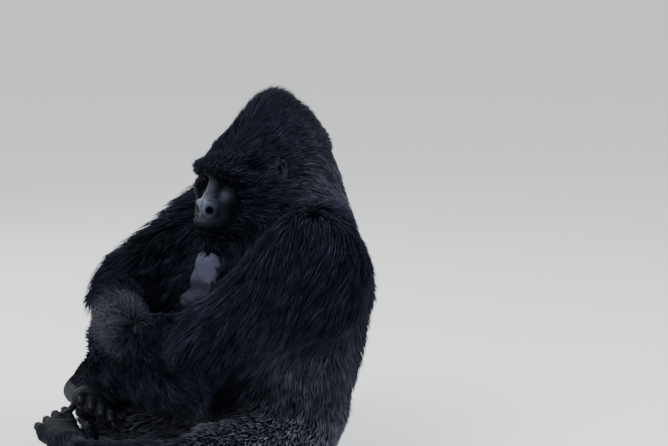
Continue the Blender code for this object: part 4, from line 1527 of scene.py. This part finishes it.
def make_floor(size):
    """A plain flat square under the animal: a coarse even grid in x and y, size to each side."""
    steps = 9
    u, v = np.meshgrid(np.linspace(-1, 1, steps), np.linspace(-1, 1, steps), indexing="ij")
    points = np.column_stack((u.ravel() * size, v.ravel() * size, np.zeros(steps * steps)))
    floor = mesh_from("floor", points, grid_tris(steps, steps))
    material, _tree, shader = shader_of("floor")
    shader.inputs["Base Color"].default_value = (0.80, 0.80, 0.79, 1.0)
    shader.inputs["Roughness"].default_value = 0.9
    floor.data.materials.append(material)
    return floor


def aim(obj, spot, target):
    """Put a lamp or camera at a spot, looking at a target."""
    obj.location = spot
    obj.rotation_euler = (Vector(target) - Vector(spot)).to_track_quat("-Z", "Y").to_euler()


def add_lamp(name, spot, power, size, colour):
    """A square area lamp that shines on the animal's middle."""
    data = bpy.data.lights.new(name, "AREA")
    data.energy = power
    data.size = size
    data.color = colour
    lamp = bpy.data.objects.new(name, data)
    bpy.context.scene.collection.objects.link(lamp)
    aim(lamp, spot, (0.0, 0.0, 0.45))


# ---------------------------------------------------------------- settings a user would change
def colour_setting(name, description, default):
    """A colour that a user can change."""
    return bpy.props.FloatVectorProperty(
        name=name, description=description, subtype="COLOR", default=default)


class GorillaSkin(bpy.types.PropertyGroup):
    """Fineness of the skin, and the colours of hide, coat, eyes and nails."""

    grid: bpy.props.FloatProperty(
        name="Grid", description="Spacing of the skin's points on the body",
        default=0.0120, min=0.004, unit="LENGTH")
    halvings: bpy.props.IntProperty(
        name="Halvings", description="How often the grid is halved towards the face",
        default=4, min=0, max=4)
    hide_dark: colour_setting("Hide, dark", "Bare skin in its darker patches", (0.0008, 0.0009, 0.0013))
    hide_light: colour_setting("Hide, light", "Bare skin in its lighter patches", (0.0028, 0.0031, 0.0046))
    chest: colour_setting("Chest", "Pale bare skin of throat and chest", (0.042, 0.045, 0.070))
    # the nose colour is a painted sheen: pale blue over nose, bridge and under the eyes
    nose: colour_setting("Nose", "Worn skin of the nose", (0.037, 0.042, 0.068))
    # the blue of the coat's colours, strongest at the tips, is a painted sheen
    coat_dark: colour_setting("Coat", "Blue-black hair at its root", (0.0018, 0.0021, 0.0037))
    coat_tip: colour_setting("Coat tip", "Blue-black hair at its tip", (0.0155, 0.0178, 0.0305))
    coat_silver: colour_setting("Silver", "Silver hair at its root", (0.0066, 0.0072, 0.0100))
    silver_tip: colour_setting("Silver tip", "Silver hair at its tip", (0.125, 0.134, 0.176))
    iris: colour_setting("Iris", "Brown of the iris", (0.0085, 0.0034, 0.0013))
    eye_white: colour_setting("Eye white", "Brownish white of the eye", (0.0018, 0.0013, 0.0012))
    nail: colour_setting("Nail", "Horn of the nails", (0.0036, 0.0035, 0.0040))


class GorillaCoat(bpy.types.PropertyGroup):
    """How much coat is grown."""

    amount: bpy.props.FloatProperty(
        name="Amount", description="Share of the full number of tufts",
        default=1.0, min=0.01, max=1.0, subtype="FACTOR")


class GorillaStage(bpy.types.PropertyGroup):
    """Camera, floor and lights."""

    azimuth: bpy.props.FloatProperty(
        name="Azimuth", description="Turn of the camera about the animal, from straight ahead",
        default=62.0)
    elevation: bpy.props.FloatProperty(
        name="Elevation", description="Height of the camera above the horizon",
        default=9.0)
    distance: bpy.props.FloatProperty(
        name="Distance", description="From the camera to its target",
        default=5.5, unit="LENGTH")
    lens: bpy.props.FloatProperty(name="Lens", description="Focal length in millimetres", default=118.6)
    target: bpy.props.FloatVectorProperty(
        name="Target", description="What the camera looks at",
        default=(0.032, 0.338, 0.598), subtype="TRANSLATION")
    floor: bpy.props.FloatProperty(
        name="Floor", description="Half the floor's width",
        default=60.0, unit="LENGTH")


def finish_piece(obj, material, slot, *nodes):
    """Give a piece its material and its body, and hide the nodes it stands for. The slot is not used."""
    obj.data.materials.clear()
    obj.data.materials.append(material)
    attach(obj, "root")
    if nodes:
        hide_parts(*nodes)


class GORILLA_OT_stage(bpy.types.Operator):
    """Add the floor, the lights and the camera."""

    bl_idname = "gorilla.stage"
    bl_label = "Stage"

    def execute(self, context):
        stage = context.scene.gorilla_stage
        make_floor(stage.floor)
        turn, rise = math.radians(stage.azimuth), math.radians(stage.elevation)
        way = np.array((math.sin(turn) * math.cos(rise), -math.cos(turn) * math.cos(rise), math.sin(rise)))
        target = np.array(stage.target)
        camera = bpy.data.objects.new("camera", bpy.data.cameras.new("camera"))
        camera.data.lens = stage.lens
        camera.data.sensor_width = SENSOR_WIDTH
        camera.data.clip_end = SIGHT
        context.scene.collection.objects.link(camera)
        aim(camera, target + stage.distance * way, target)
        context.scene.camera = camera
        for name, lamp in LAMPS.items():
            add_lamp(name, *lamp)
        world = bpy.data.worlds.new("studio")
        world.use_nodes = True
        world.node_tree.nodes["Background"].inputs[0].default_value = (0.86, 0.88, 0.90, 1.0)
        world.node_tree.nodes["Background"].inputs[1].default_value = 1.20
        context.scene.world = world
        return {"FINISHED"}


class GORILLA_OT_skin(bpy.types.Operator):
    """Make the one skin that stands for all the flesh."""

    bl_idname = "gorilla.skin"
    bl_label = "Skin"

    def execute(self, context):
        look = context.scene.gorilla_skin
        finish_piece(make_skin(look), skin_material(look), "skin", *FLESH)
        return {"FINISHED"}


class GORILLA_OT_eyes(bpy.types.Operator):
    """Make both eyeballs."""

    bl_idname = "gorilla.eyes"
    bl_label = "Eyes"

    def execute(self, context):
        material = eye_material(context.scene.gorilla_skin)
        gaze = HEAD_TURN @ unit(np.array((0.05, -1.0, -0.20)))
        for name in ("eye_left", "eye_right"):
            centre = np.array(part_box(name)).mean(axis=0)
            finish_piece(eyeball(name + "_ball", centre, gaze), material, "eye", name)
        return {"FINISHED"}


class GORILLA_OT_nails(bpy.types.Operator):
    """Make the nails of hands and feet."""

    bl_idname = "gorilla.nails"
    bl_label = "Nails"

    def execute(self, context):
        material = nail_material(context.scene.gorilla_skin)
        for name in HANDS_FEET:
            _bodies, digits = digit_chains(name)
            finish_piece(nail_plates("nails_" + name, *limb_frame(name), digits), material, "nail")
        return {"FINISHED"}


class GORILLA_OT_coat(bpy.types.Operator):
    """Grow the coat on the finished skin."""

    bl_idname = "gorilla.coat"
    bl_label = "Coat"

    def execute(self, context):
        material = coat_material(context.scene.gorilla_skin)
        field = SkinField(bpy.data.objects["skin"])
        for name in PIECES:
            piece, slot = make_coat_piece(field, name, context.scene.gorilla_coat.amount)
            finish_piece(piece, material, slot)
        return {"FINISHED"}


class GORILLA_PT_panel(bpy.types.Panel):
    """Lists the pieces and their settings."""

    bl_label = "Gorilla"
    bl_space_type = "VIEW_3D"
    bl_region_type = "UI"
    bl_category = "Gorilla"

    def draw(self, context):
        for operator in OPERATORS:
            self.layout.operator(operator.bl_idname)
        for group in SETTINGS:
            settings = getattr(context.scene, group)
            for key in settings.__annotations__:
                self.layout.prop(settings, key)


SETTINGS = {"gorilla_skin": GorillaSkin, "gorilla_coat": GorillaCoat, "gorilla_stage": GorillaStage}
OPERATORS = (GORILLA_OT_stage, GORILLA_OT_skin, GORILLA_OT_eyes, GORILLA_OT_nails, GORILLA_OT_coat)


def register():
    """Register the classes and hang the settings on the scene."""
    for cls in (*SETTINGS.values(), *OPERATORS, GORILLA_PT_panel):
        bpy.utils.register_class(cls)
    for name, cls in SETTINGS.items():
        setattr(bpy.types.Scene, name, bpy.props.PointerProperty(type=cls))


def unregister():
    """Undo register."""
    for name in SETTINGS:
        delattr(bpy.types.Scene, name)
    for cls in (GORILLA_PT_panel, *reversed(OPERATORS), *reversed(list(SETTINGS.values()))):
        bpy.utils.unregister_class(cls)


def main():
    """Build everything in order."""
    register()
    bpy.ops.gorilla.stage()
    bpy.ops.gorilla.skin()
    bpy.ops.gorilla.eyes()
    bpy.ops.gorilla.nails()
    bpy.ops.gorilla.coat()


if __name__ == "__main__":
    main()
